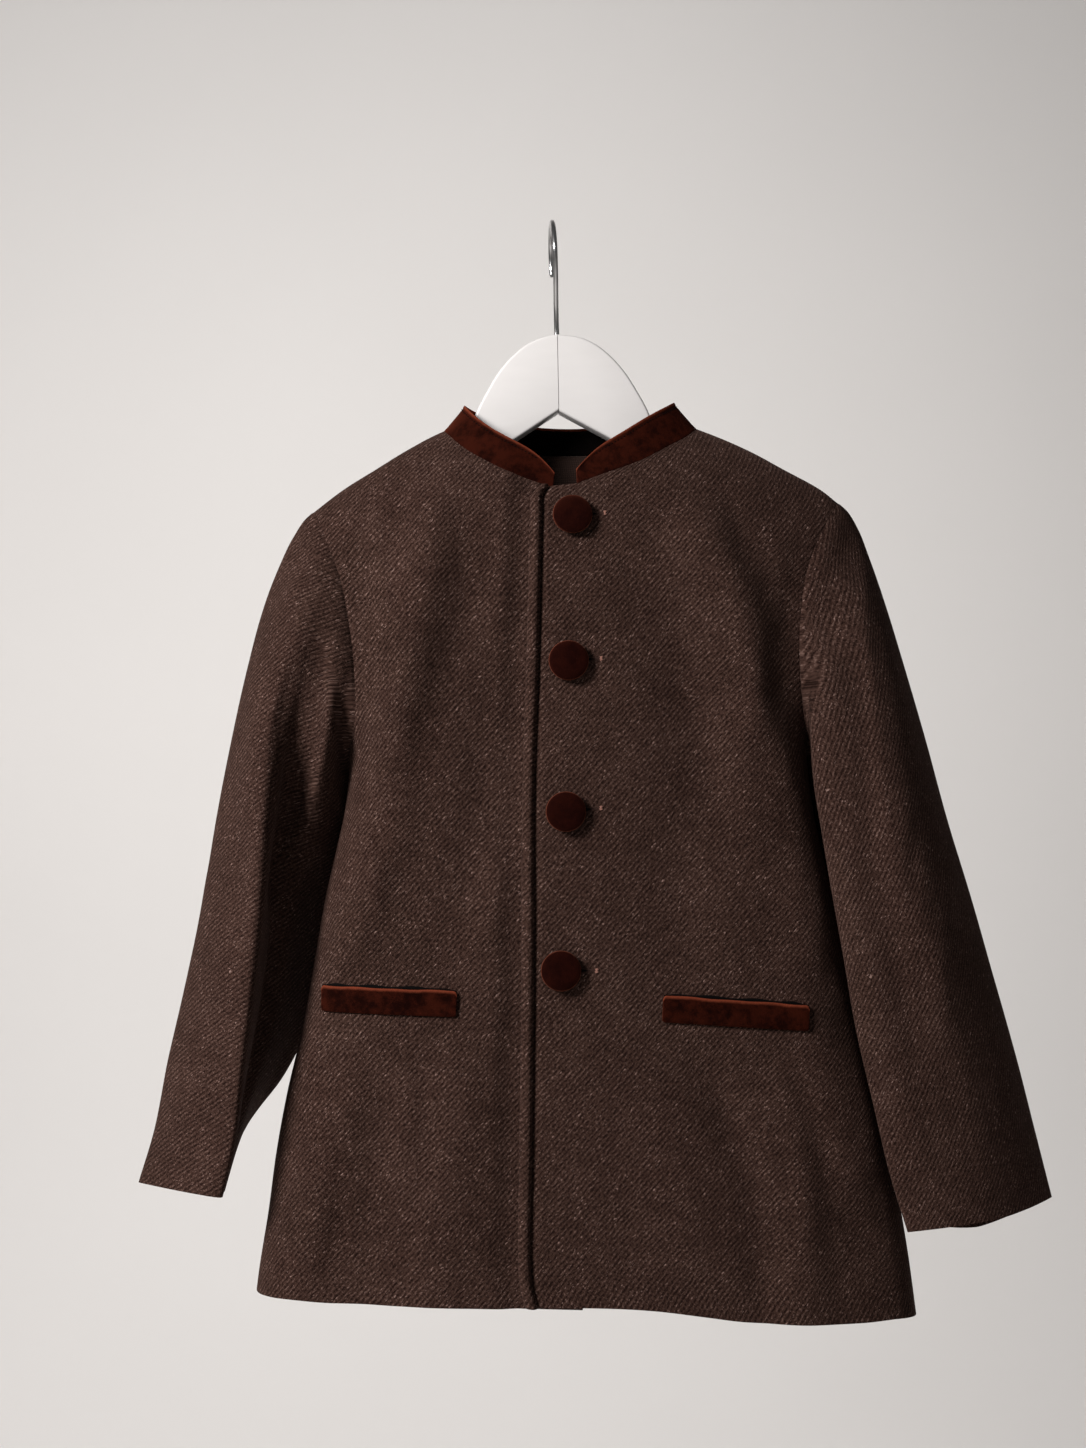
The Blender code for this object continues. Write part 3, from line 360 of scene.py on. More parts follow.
HEM = {
    "right": ((-170.4, -580), (-150, -579.4), (-129, -581.2), (-72, -583.4), (-30, -585.6),
              (2.5, -587.4)),
    "left": ((186.7, -602.5), (172, -600.3), (152, -600), (131, -599), (110, -597.6),
             (88, -595.7), (67, -592.2), (40, -588), (10, -585.6), (-27.5, -584.6)),
    "back": ((-170.4, -580), (-100, -587), (8, -591), (110, -598), (186.7, -602.5)),
}
# The turned edge, as (mm in from the fold, mm raised)
EDGE_ROLL = ((0.0, -1.1), (0.6, 0.5), (1.7, 1.9), (3.2, 2.8), (4.8, 2.8), (5.8, 1.9),
             (6.4, -0.7), (6.9, -1.5), (7.5, -0.8), (9.0, 0.0))

# Large folds, as (x start, z start, x end, z end, half width, height)
FOLDS = {
    "front": (
        (-70, -176, -90, -236, 17, 3.5), (-90, -236, -112, -384, 17, 4.0),
        (-108, -196, -98, -250, 11, -3.0), (-40, -300, -66, -420, 26, -2.0),
        (-122, -480, -150, -578, 15, 3.5), (-98, -470, -112, -580, 16, -3.0),
        (-66, -500, -74, -580, 20, 2.0), (76, -186, 98, -284, 17, 3.5),
        (98, -284, 128, -404, 16, 3.5), (116, -214, 114, -270, 12, -3.0),
        (70, -470, 102, -520, 20, -3.0), (128, -440, 150, -520, 15, 3.5),
        (104, -510, 118, -590, 18, 2.5), (40, -330, 48, -440, 24, -1.5),
    ),
    "back": (
        (-60, -180, -78, -300, 22, 3.0), (-30, -330, -44, -560, 26, -3.0),
        (40, -420, 52, -590, 24, 3.0), (84, -190, 100, -330, 22, 3.0),
        (-106, -430, -124, -575, 20, 3.0), (112, -470, 130, -596, 20, -2.5),
    ),
}
# Small creases and puckers, as (x start, z start, x end, z end, half width, height)
CREASES = {
    "front": (
        (-60, -150, -76, -178, 7, 0.9), (-84, -150, -92, -186, 6, -0.8),
        (-104, -168, -98, -214, 7, 0.9), (-72, -232, -92, -300, 8, 0.9),
        (-88, -300, -104, -350, 6, -0.8), (-52, -190, -62, -262, 9, -0.7),
        (-30, -196, -44, -236, 8, 0.6), (-46, -300, -38, -352, 7, -0.7),
        (-34, -352, -52, -404, 8, 0.7), (-112, -330, -102, -372, 5, 0.9),
        (-118, -372, -96, -402, 6, -0.8), (-90, -452, -96, -520, 7, 0.9),
        (-78, -462, -82, -530, 6, -1.0), (-60, -446, -58, -506, 8, 0.8),
        (-136, -470, -150, -540, 6, 0.9), (-124, -500, -132, -572, 6, -1.0),
        (-44, -520, -50, -576, 8, -0.6), (-92, -546, -88, -580, 7, -1.0),
        (14, -172, 46, -186, 6, 0.7), (12, -180, 40, -202, 6, -0.7),
        (10, -250, 40, -262, 6, 0.7), (8, -258, 36, -280, 6, -0.8),
        (6, -330, 34, -344, 6, 0.7), (4, -340, 30, -362, 6, -0.7),
        (2, -413, 32, -424, 6, 0.7), (0, -424, 26, -446, 6, -0.7),
        (60, -150, 74, -196, 8, 0.8), (88, -158, 98, -202, 7, -0.8),
        (78, -172, 108, -284, 13, 3.6), (103, -262, 137, -396, 13, 4.0),
        (44, -186, 60, -400, 20, -2.6), (-70, -172, -93, -276, 13, 2.8),
        (-90, -256, -116, -398, 13, 2.8), (-44, -200, -56, -380, 17, -2.4),
        (112, -476, 122, -588, 12, 2.2), (84, -480, 96, -592, 12, -2.0),
        (118, -186, 108, -238, 7, 1.0), (112, -244, 104, -300, 7, -0.9),
        (62, -250, 76, -330, 9, -0.8), (84, -300, 100, -372, 8, 0.8),
        (120, -322, 130, -384, 6, -0.9), (66, -456, 82, -512, 7, -1.0),
        (84, -470, 104, -536, 7, 1.0), (50, -500, 58, -566, 9, 0.8),
        (118, -470, 132, -560, 7, -1.0), (140, -536, 166, -548, 4, 1.1),
        (138, -544, 160, -559, 4, -1.0), (26, -520, 24, -574, 9, -0.6),
        (92, -560, 98, -592, 7, -0.9), (150, -460, 160, -520, 6, 0.9),
    ),
    "back": (
        (-96, -170, -84, -250, 9, 0.9), (-70, -250, -90, -350, 10, -0.9),
        (-20, -180, -30, -300, 12, -0.7), (20, -200, 14, -330, 14, 0.7),
        (60, -240, 76, -350, 10, -0.8), (106, -190, 96, -280, 8, 0.9),
        (-90, -360, -104, -450, 8, 0.9), (-60, -420, -66, -560, 12, 0.8),
        (-4, -420, 2, -580, 12, -0.8), (84, -420, 92, -570, 10, -0.9),
        (130, -400, 148, -520, 8, 0.9), (-140, -480, -150, -570, 7, -0.9),
        (24, -520, 22, -590, 9, 0.7), (150, -530, 162, -598, 8, -0.9),
    ),
}

# Rows down a panel: fractions of the armhole, then equal steps down the side seam
ARMHOLE_STOPS = (0, 0.025, 0.065, 0.14, 0.25, 0.37, 0.49, 0.61, 0.73, 0.86, 1)
ARMHOLE_ROWS = np.interp(np.linspace(0, 10, 54), range(11), ARMHOLE_STOPS)
ARMHOLE_SHARE = 0.32
READ_FINELY = 400
SIDE_ROWS = 118
COLUMNS = {"shoulder": 34, "neck": 34, "end": 8, "back_neck": 60}
COLUMNS_EVEN_FROM = 0.35
COLUMNS_TO_EDGE = 5
CREASE_BOW = 0.06
CREASE_END, CREASE_SPAN = 0.15, 0.7
RIM_SHARPER_THAN = 52
RIM_SEGMENTS = 3


def ease(value):
    """A smooth ramp from 0 to 1."""
    value = np.clip(value, 0, 1)
    return value * value * (3 - 2 * value)


def unit(vectors):
    """The vectors at length 1."""
    return vectors / np.maximum(np.linalg.norm(vectors, axis=-1, keepdims=True), 1e-9)


TOP_CURVE = spline(TOP_LINE, READ_FINELY)
SIDE_CURVE = spline(SIDE_LINE, READ_FINELY)[::-1]
OVER_EDGE = spline(FRONT_EDGE["left"], READ_FINELY)[::-1]


def fold_height(x, z, folds, tapered):
    """How far folds push the cloth out at (x, z); tapered ones die away at their ends."""
    total = np.zeros(np.shape(x))
    for x0, z0, x1, z1, wide, high in folds:
        run = (x1 - x0) ** 2 + (z1 - z0) ** 2
        t = ((x - x0) * (x1 - x0) + (z - z0) * (z1 - z0)) / run
        near = np.clip(t, 0, 1)
        bow = tapered * CREASE_BOW * math.sqrt(run) * np.sin(math.pi * near)
        off = np.hypot(x - x0 - near * (x1 - x0) - bow, z - z0 - near * (z1 - z0))
        strong = np.sin(math.pi * (CREASE_END + CREASE_SPAN * near)) if tapered else 1.0
        total = total + high * strong * np.exp(-(off / wide) ** 2)
    return total


def body_depth(x, z, which):
    """How far the body's cloth stands in front of or behind the hanger at (x, z)."""
    right = np.interp(z, SIDE_CURVE[:, 0], SIDE_CURVE[:, 1])
    left = np.interp(z, SIDE_CURVE[:, 0], SIDE_CURVE[:, 2])
    half = np.where(x < BODY_AXIS, BODY_AXIS - right, left - BODY_AXIS)
    across = np.clip(np.abs(x - BODY_AXIS) / half, 0, 1)
    shape = (1 - across ** SECTION_POWER) ** (1 / SECTION_POWER)
    drop = np.maximum(np.interp(x, TOP_CURVE[:, 0], TOP_CURVE[:, 1]) - z, 0)
    near_top = 1 - np.minimum(drop / SHOULDER_ROUND, 1)
    rounded = SHOULDER_ROUND * np.sqrt(1 - near_top ** 2) * np.minimum(1, 2 * shape)
    fall = 1 - np.exp(-drop / FALL)
    at_side = np.minimum(1, FOLDS_AT_SIDE * shape)
    folds = fold_height(x, z, FOLDS[which], False) * at_side * ease(drop / FOLDS_BELOW_TOP)
    small = fold_height(x, z, CREASES[which], True) * at_side * ease(drop / CREASES_BELOW_TOP)
    return DEEP[which] * shape * fall + rounded + folds + small * CREASES_RAISED


def lap_recess(x, z):
    """The under front lies this much deeper where the over front covers it."""
    edge = np.interp(z, OVER_EDGE[:, 1], OVER_EDGE[:, 0])
    return LAP_STEP * ease((x - edge + LAP_STARTS) / LAP_RAMP)


def surface_point(x, z, panel):
    """A point of a panel's outer side, in millimetres."""
    if panel == "back":
        return np.stack([x, body_depth(x, z, "back"), z], axis=-1)
    y = -body_depth(x, z, "front")
    if panel == "front_right":
        y = y + lap_recess(x, z)
    return np.stack([x, y, z], axis=-1)


def row_fractions():
    """How far down a panel each of its rows lies, the underarm's row among them."""
    upper = [ARMHOLE_SHARE * f for f in ARMHOLE_ROWS]
    lower = [ARMHOLE_SHARE + (1 - ARMHOLE_SHARE) * k / SIDE_ROWS for k in range(1, SIDE_ROWS + 1)]
    return np.array(upper + lower)


def side_boundary(side, face, panel):
    """Points down an armhole and side seam in (x, z), one for each row."""
    hole = spline(ARMHOLE[side, face], READ_FINELY)
    far = lengths(surface_point(hole[:, 0], hole[:, 1], panel))
    hole = read_at(hole, far, ARMHOLE_ROWS * far[-1])
    seam = spline(SIDE_SEAM[side], READ_FINELY)
    seam = along(seam, np.linspace(0, 1, SIDE_ROWS + 1)[1:])
    return np.vstack([hole, seam])


def span(line):
    """Each point's share of the line's width in x."""
    return (line[:, 0] - line[0, 0]) / (line[-1, 0] - line[0, 0])


def blend_rows(top, bottom, start, end):
    """Rows in (x, z) between a top and a bottom line, from one side line to the other."""
    rows = []
    width = np.linspace(0, 1, READ_FINELY)[:, None]
    top_even = read_at(top, span(top), width[:, 0])
    low_even = read_at(bottom, span(bottom), width[:, 0])
    for down, first, last in zip(row_fractions(), start, end):
        middle = (1 - down) * top_even + down * low_even
        sides = (1 - width) * first + width * last
        corners = ((1 - width) * ((1 - down) * top[0] + down * bottom[0])
                   + width * ((1 - down) * top[-1] + down * bottom[-1]))
        rows.append(middle + sides - corners)
    return rows


def panel_grid(panel, rows, top_stops, edge_steps=()):
    """Columns across the rows; top_stops are the top row's places as fractions of it."""
    grid = []
    even = np.linspace(0, 1, len(top_stops))
    for down, row in zip(row_fractions(), rows):
        points = surface_point(row[:, 0], row[:, 1], panel)
        far = lengths(points)[-1]
        near = ease(down / COLUMNS_EVEN_FROM)
        main = (1 - near) * np.array(top_stops) + near * even
        if edge_steps:
            reach = 1 - edge_steps[0] / far
            main = np.minimum(main * ((1 - near) + near * reach), reach)
            main = np.concatenate([main, [1 - step / far for step in edge_steps[1:]]])
        grid.append(along(points, main))
    return np.array(grid)


def course(grid, axis, closed=False):
    """Which way each of a grid's lines runs at each point, halfway between its two steps."""
    if closed:
        step = unit(np.roll(grid, -1, axis=axis) - grid)
        return unit(step + np.roll(step, 1, axis=axis))
    step = unit(np.diff(grid, axis=axis))
    first, last = np.take(step, [0], axis=axis), np.take(step, [-1], axis=axis)
    return unit(np.concatenate([first, step], axis=axis) + np.concatenate([step, last], axis=axis))


def normals_of(grid, closed=False):
    """Unit normals of a grid of points."""
    return unit(np.cross(course(grid, 1, closed), course(grid, 0)))


def front_panel(side):
    """The outer grid of one front, its columns from the armhole to the free edge."""
    panel = "front_" + side
    shoulder = spline(SHOULDER[side], READ_FINELY)
    neck = spline(NECKLINE[side], READ_FINELY)
    end = spline(NECK_END[side], READ_FINELY)
    top = np.vstack([shoulder, neck[1:], end[1:]])
    if side == "left":
        top = top[top[:, 0] >= FRONT_EDGE["left"][0][0]]
    bottom = spline(HEM[side], READ_FINELY)
    edge = along(spline(FRONT_EDGE[side], READ_FINELY), row_fractions())
    rows = blend_rows(top, bottom, side_boundary(side, "front", panel), edge)
    line = surface_point(rows[0][:, 0], rows[0][:, 1], panel)
    far = lengths(line)
    stops = [np.interp(abs(x - rows[0][0, 0]), np.abs(line[:, 0] - line[0, 0]), far) / far[-1]
             for x in (SHOULDER[side][-1][0], NECKLINE[side][-1][0])]
    places = list(np.linspace(0, stops[0], COLUMNS["shoulder"] + 1))
    places += list(np.linspace(stops[0], stops[1], COLUMNS["neck"] + 1)[1:])
    if side == "right":
        places += list(np.linspace(stops[1], 1, COLUMNS["end"] + 1)[1:])
        return panel_grid(panel, rows, places)
    steps = [step for step, _ in reversed(EDGE_ROLL)]
    reach = 1 - steps[0] / far[-1]
    places += list(np.linspace(stops[1], reach, COLUMNS_TO_EDGE)[1:])
    return panel_grid(panel, rows, places, steps)


def back_panel():
    """The outer grid of the back, its columns from the right side to the left."""
    right = spline(SHOULDER["right"], READ_FINELY)
    left = spline(SHOULDER["left"], READ_FINELY)[::-1]
    top = np.vstack([right, spline(BACK_NECK, READ_FINELY)[1:], left[1:]])
    rows = blend_rows(top, spline(HEM["back"], READ_FINELY), side_boundary("right", "back", "back"),
                      side_boundary("left", "back", "back"))
    line = surface_point(rows[0][:, 0], rows[0][:, 1], "back")
    far = lengths(line)
    stops = [np.interp(x, line[:, 0], far) / far[-1] for x in (BACK_NECK[0][0], BACK_NECK[-1][0])]
    places = np.concatenate([np.linspace(0, stops[0], COLUMNS["shoulder"] + 1),
                             np.linspace(stops[0], stops[1], COLUMNS["back_neck"] + 1)[1:],
                             np.linspace(stops[1], 1, COLUMNS["shoulder"] + 1)[1:]])
    return panel_grid("back", rows, places)


def body_panels():
    """The three panels, as their outer grids and normals, joined along their seams."""
    grids = {"front_right": front_panel("right"), "front_left": front_panel("left"),
             "back": back_panel()}
    across = COLUMNS["shoulder"] + 1
    below = slice(len(ARMHOLE_ROWS) - 1, None)
    seams = []
    for front, column, back_line in (("front_right", 0, slice(0, across)),
                                     ("front_left", -1, slice(-1, -across - 1, -1))):
        seams.append((front, (below, 0), (below, column)))
        seams.append((front, (0, slice(0, across)), (0, back_line)))
    for front, here, there in seams:
        meet = (grids[front][here] + grids["back"][there]) / 2
        grids[front][here] = meet
        grids["back"][there] = meet
    facing = {}
    for name, grid in grids.items():
        facing[name] = normals_of(grid)
        outward = 1 if name == "back" else -1
        if facing[name][:, grid.shape[1] // 2, 1].mean() * outward < 0:
            facing[name] = -facing[name]
    for front, here, there in seams:
        shared = unit(facing[front][here] + facing["back"][there])
        facing[front][here] = shared
        facing["back"][there] = shared
    return grids, facing


def seam_shift(grid, name):
    """Half a seam's gap, taken off each side of a seam between the fronts and the back."""
    away = SEAM_CLOSED / 2 if name == "back" else -SEAM_CLOSED / 2
    moved = grid.copy()
    across = COLUMNS["shoulder"] + 1
    underarm = len(ARMHOLE_ROWS) - 1
    moved[0, :across, 1] += away
    moved[underarm:, 0, 1] += away
    if name == "back":
        moved[0, -across:, 1] += away
        moved[underarm:, -1, 1] += away
    return moved


def level_lengths(grid):
    """How far along its row each point of a grid lies, measured on the level."""
    step = np.diff(grid, axis=1)
    step = np.hypot(step[..., 0], step[..., 1])
    return np.concatenate([np.zeros_like(step[:, :1]), np.cumsum(step, axis=1)], axis=1)


def laid_flat(grid, start, mirrored=False):
    """Where each point of a grid lies on the roll of cloth, in metres, from the start column."""
    across = level_lengths(grid)
    across = (across - across[:, start:start + 1]) * (-1 if mirrored else 1)
    return np.stack([across, grid[..., 2]], axis=-1) * MM


def sewn_wall(name, outer, inner, flat, closed=False, rounded=0.8):
    """A cloth wall between two grids of points, with soft edges, laid on flat cloth."""
    rows, cols = outer.shape[:2]
    points = np.concatenate([outer.reshape(-1, 3), inner.reshape(-1, 3)]) * MM
    inside = rows * cols
    last = cols if closed else cols - 1
    faces, uv = [], []

    def face(corners):
        faces.append([r * cols + c % cols + (inside if layer else 0) for r, c, layer in corners])
        uv.extend(flat[r, c] for r, c, _ in corners)

    for r in range(rows - 1):
        for c in range(last):
            ring = ((r, c), (r + 1, c), (r + 1, c + 1), (r, c + 1))
            face([(a, b, 0) for a, b in ring])
            face([(a, b, 1) for a, b in reversed(ring)])
    edges = [((0, c + 1), (0, c)) for c in range(last)]
    edges += [((rows - 1, c), (rows - 1, c + 1)) for c in range(last)]
    if not closed:
        edges += [((r, 0), (r + 1, 0)) for r in range(rows - 1)]
        edges += [((r + 1, cols - 1), (r, cols - 1)) for r in range(rows - 1)]
    for a, b in edges:
        face([(*b, 0), (*a, 0), (*a, 1), (*b, 1)])
    mesh = bpy.data.meshes.new(name)
    mesh.from_pydata(points.tolist(), [], faces)
    layer = mesh.uv_layers.new(name="cloth")
    layer.data.foreach_set("uv", np.asarray(uv, dtype=np.float32).ravel())
    build = bmesh.new()
    build.from_mesh(mesh)
    bmesh.ops.recalc_face_normals(build, faces=build.faces)
    rims = [e for e in build.edges if e.calc_face_angle(0) > math.radians(RIM_SHARPER_THAN)]
    if rounded:
        bmesh.ops.bevel(build, geom=rims, offset=rounded * MM, segments=RIM_SEGMENTS,
                        profile=0.5, affect="EDGES", clamp_overlap=True)
    build.to_mesh(mesh)
    build.free()
    mesh.shade_smooth()
    return in_scene(name, mesh)


# The cloth: a wool twill of dark and pale brown fibres. Its wales rise to the right at
# 47 degrees, 2.35 mm apart. The yarn is fulled, so they break up into short uneven dashes
# with a few pinkish fibres among them.
WALE_RISE = 47.0
WALE_APART = 0.00235
# The weave's colours; the hollows' colour is darker partly for the dark yarn and partly as painted
# shade
TWILL = {"shaded_hollow": (0.0100, 0.0046, 0.0034), "float": (0.040, 0.0210, 0.0160),
         "pale": (0.112, 0.068, 0.055), "fleck": (0.27, 0.175, 0.150)}
# Where each part of the weave starts to show and where it shows fully
TWILL_SHOWS = {"dash": (0.34, 0.68), "float": (0.10, 0.62), "pale": (0.58, 1.02),
               "fleck": (0.65, 0.74), "fleck where worn": (0.40, 0.58)}
WEAVE_SHARE = {"dash": 0.36, "wale": 0.34, "pick": 0.30}
CLOUDY = 0.30
WORN_PALER = 0.24
FLECK_STRENGTH = 0.75
# How far the flat cloth's lines wander, as (size of a wave, strength)
WEAVE_WANDERS = ((0.012, 0.0010), (0.0018, 0.0006))
DASH = 0.00072
DASH_LONGER = 0.36
PICK = 0.00070
PICK_LONGER = 0.5
CLOUD = 0.035
WORN = 0.009
SPECK = 0.00085
TWILL_DEEP = 0.00034


def twill_finish(name):
    """The wool twill, woven in its own flat cloth's measures."""
    cloth = Finish(name, Roughness=0.95, Specular_IOR_Level=0.04, Sheen_Weight=0.05,
                   Sheen_Roughness=0.5, Sheen_Tint=(1.0, 0.62, 0.52))
    flat = cloth.here("UV")
    for size, strong in WEAVE_WANDERS:
        waves = cloth.node("TexNoise", [("Vector", flat), ("Scale", 1 / size)])
        bend = cloth.node("VectorMath", [(0, waves.outputs["Color"]), (1, (0.5, 0.5, 0.5))],
                          operation="SUBTRACT")
        bend = cloth.node("VectorMath", [(0, bend.outputs[0]), ("Scale", strong)],
                          operation="SCALE")
        flat = cloth.node("VectorMath", [(0, flat), (1, bend.outputs[0])],
                          operation="ADD").outputs[0]
    turned = cloth.node("Mapping", [("Vector", flat),
                                    ("Rotation", (0, 0, math.radians(-WALE_RISE)))]).outputs[0]
    parts = cloth.node("SeparateXYZ", [("Vector", turned)])
    turns = cloth.sum("MULTIPLY", parts.outputs[1], 2 * math.pi / WALE_APART)
    crown = cloth.sum("MULTIPLY_ADD", cloth.sum("SINE", turns), 0.5, 0.5)
    along_wale = cloth.longer(turned, (DASH_LONGER, 1, 1))
    across_wale = cloth.longer(turned, (1, PICK_LONGER, 1))
    dashes = cloth.step(cloth.noise(along_wale, DASH, 1.5), *TWILL_SHOWS["dash"])
    picks = cloth.step(cloth.noise(across_wale, PICK, 1.5), *TWILL_SHOWS["dash"])
    weave = cloth.sum("MULTIPLY_ADD", dashes, WEAVE_SHARE["dash"],
                      cloth.sum("MULTIPLY", crown, WEAVE_SHARE["wale"]))
    weave = cloth.sum("MULTIPLY_ADD", picks, WEAVE_SHARE["pick"], weave)
    worn = cloth.noise(flat, WORN, 4)
    tone = weave
    for patches, strength in ((cloth.noise(flat, CLOUD, 3), CLOUDY), (worn, WORN_PALER)):
        tone = cloth.sum("MULTIPLY_ADD", patches, strength,
                         cloth.sum("SUBTRACT", tone, strength / 2))
    # Darkest where the weave lies low: partly the yarn's colour, partly painted shade in the
    # hollows
    colour = TWILL["shaded_hollow"]
    for part in ("float", "pale"):
        colour = cloth.blend(cloth.step(tone, *TWILL_SHOWS[part]), colour, TWILL[part])
    specks = cloth.step(cloth.noise(along_wale, SPECK, 1), *TWILL_SHOWS["fleck"])
    specks = cloth.sum("MULTIPLY", specks, cloth.step(worn, *TWILL_SHOWS["fleck where worn"]))
    colour = cloth.blend(cloth.sum("MULTIPLY", specks, FLECK_STRENGTH), colour, TWILL["fleck"])
    cloth.feed(cloth.shader, "Base Color", colour)
    cloth.relief(weave, TWILL_DEEP)
    return cloth


grids, facing = body_panels()
twill = twill_finish("brown wool twill")
edges = {}
panels = {}
for name, grid in grids.items():
    edge = seam_shift(grid, name)
    inner = edge - facing[name] * CLOTH
    outer = edge.copy()
    if name == "front_left":
        for column, (_, height) in enumerate(EDGE_ROLL):
            outer[:, -1 - column] += height * facing[name][:, -1 - column]
    start = grid.shape[1] // 2 if name == "back" else grid.shape[1] - 1
    edges[name] = outer
    flat = laid_flat(grid, start, mirrored=name == "front_left")
    wall = sewn_wall(name + "_cloth", outer, inner, flat)
    panels[name] = place_on(wall, name, twill)


# The sleeves: one piece of the same twill each, seamed under the arm and set into the
# armhole with a little ease, so that the cap swells just outside the seam. Each row below
# is a section, its places as (x, y) between the heights top and bottom; drop lowers its back.
SLEEVE_COLUMNS = ("top", "bottom", "out", "ridge", "valley", "strip", "side", "inner", "back",
                  "drop")
SLEEVE = {
    "right": (
        (-173, -305, (-145.5, 0), (-133, -30), (-125, -37), (-119, -36), (-119.4, -22),
         (-117.3, 7), (-129, 27), 0),
        (-190, -316, (-154, 1), (-142, -35), (-133.5, -36), (-124, -39), (-121.5, -20),
         (-118, 9), (-136, 33), 0),
        (-214, -326, (-163.5, 2), (-149, -36), (-140, -32), (-128, -37), (-123, -17),
         (-118.2, 13), (-143, 39), 0),
        (-246, -339, (-172, 2), (-155, -39), (-146, -28), (-132, -30), (-125, -8),
         (-117.5, 22), (-150, 43), 0),
        (-285, -357, (-181, 3), (-159, -42), (-151, -23), (-138, -18), (-130, 0),
         (-121, 28), (-156, 46), 0),
        (-328, -378, (-190, 3), (-162, -44), (-156, -20), (-146, -6), (-137, 12),
         (-129, 31), (-163, 48), 0),
        (-373, -408, (-198, 4), (-165, -45), (-160, -20), (-150.5, 0), (-142, 17),
         (-134, 35), (-170, 48), 0),
        (-418, -440, (-208, 4), (-169, -47), (-165, -22), (-157, 0), (-148.5, 19),
         (-142, 36), (-180, 48), 0),
        (-458, -470, (-217.5, 4), (-174, -48), (-171, -24), (-166.5, -2), (-161.5, 16),
         (-157, 32), (-192, 46), 2),
        (-495, -500, (-225, 3), (-178, -47), (-177.5, -26), (-177.8, -6), (-178, 10),
         (-180.5, 25), (-204, 43), 5),
        (-523, -529, (-233.6, 2), (-185, -44), (-185, -26), (-186, -8), (-188, 8),
         (-192, 22), (-212, 40), 8),
    ),
    "left": (
        (-171, -313, (167, 0), (153, -29), (141, -37), (131, -38), (133.5, -24),
         (136.8, 1), (153, 27), 0),
        (-190, -321, (174, 0), (160, -35), (146, -43), (131.5, -41), (136.5, -22),
         (137, 6), (160, 33), 0),
        (-218, -331, (182.5, 0), (166, -42), (150, -48), (132, -42), (139, -20),
         (138, 10), (167, 37), 0),
        (-252, -346, (191.6, 0), (172, -47), (154, -52), (133.5, -43), (142, -21),
         (139.5, 12), (173, 38), 0),
        (-292, -364, (202, 0), (178, -50), (158, -54), (137, -44), (147, -22),
         (143.5, 14), (180, 39), 0),
        (-336, -392, (212.7, 0), (184, -52), (163, -55), (141, -45), (153, -24),
         (149.2, 14), (188, 39), 0),
        (-380, -424, (225, 0), (191, -52), (168, -55), (145.8, -46), (159, -25),
         (160, 12), (197, 38), 0),
        (-425, -458, (236.5, 0), (199, -51), (174, -54), (151, -46), (166, -26),
         (171, 4), (206, 34), 2),
        (-469, -494, (247.7, 0), (208, -48), (180, -52), (158.5, -46), (174.5, -27),
         (179.5, 2), (215, 31), 5),
        (-508, -528, (257, 2), (217, -44), (188, -49), (166, -45), (182, -26),
         (188, -2), (223, 28), 9),
        (-544.5, -556.5, (265.3, 2), (226, -39), (197, -46), (175, -44), (188, -26),
         (195, -6), (230, 24), 13),
    ),
}
ROUND_FRONT = {"out": 0.0, "ridge": 0.25, "valley": 0.45, "strip": 0.65, "side": 0.85,
               "inner": 1.0}
SLEEVE_ROWS = 112
SLEEVE_ROWS_CLOSER = 1.15
SLEEVE_TILT = {"right": 18.5, "left": -19.0}
CAP_SWELL = 0.9
CAP_REACH = 7.0
CAP_EASE = 0.35
CAP_PUCKERS = 21
CAP_STARTS_OVER = 2.0
CREASES_START_OVER = 10.0
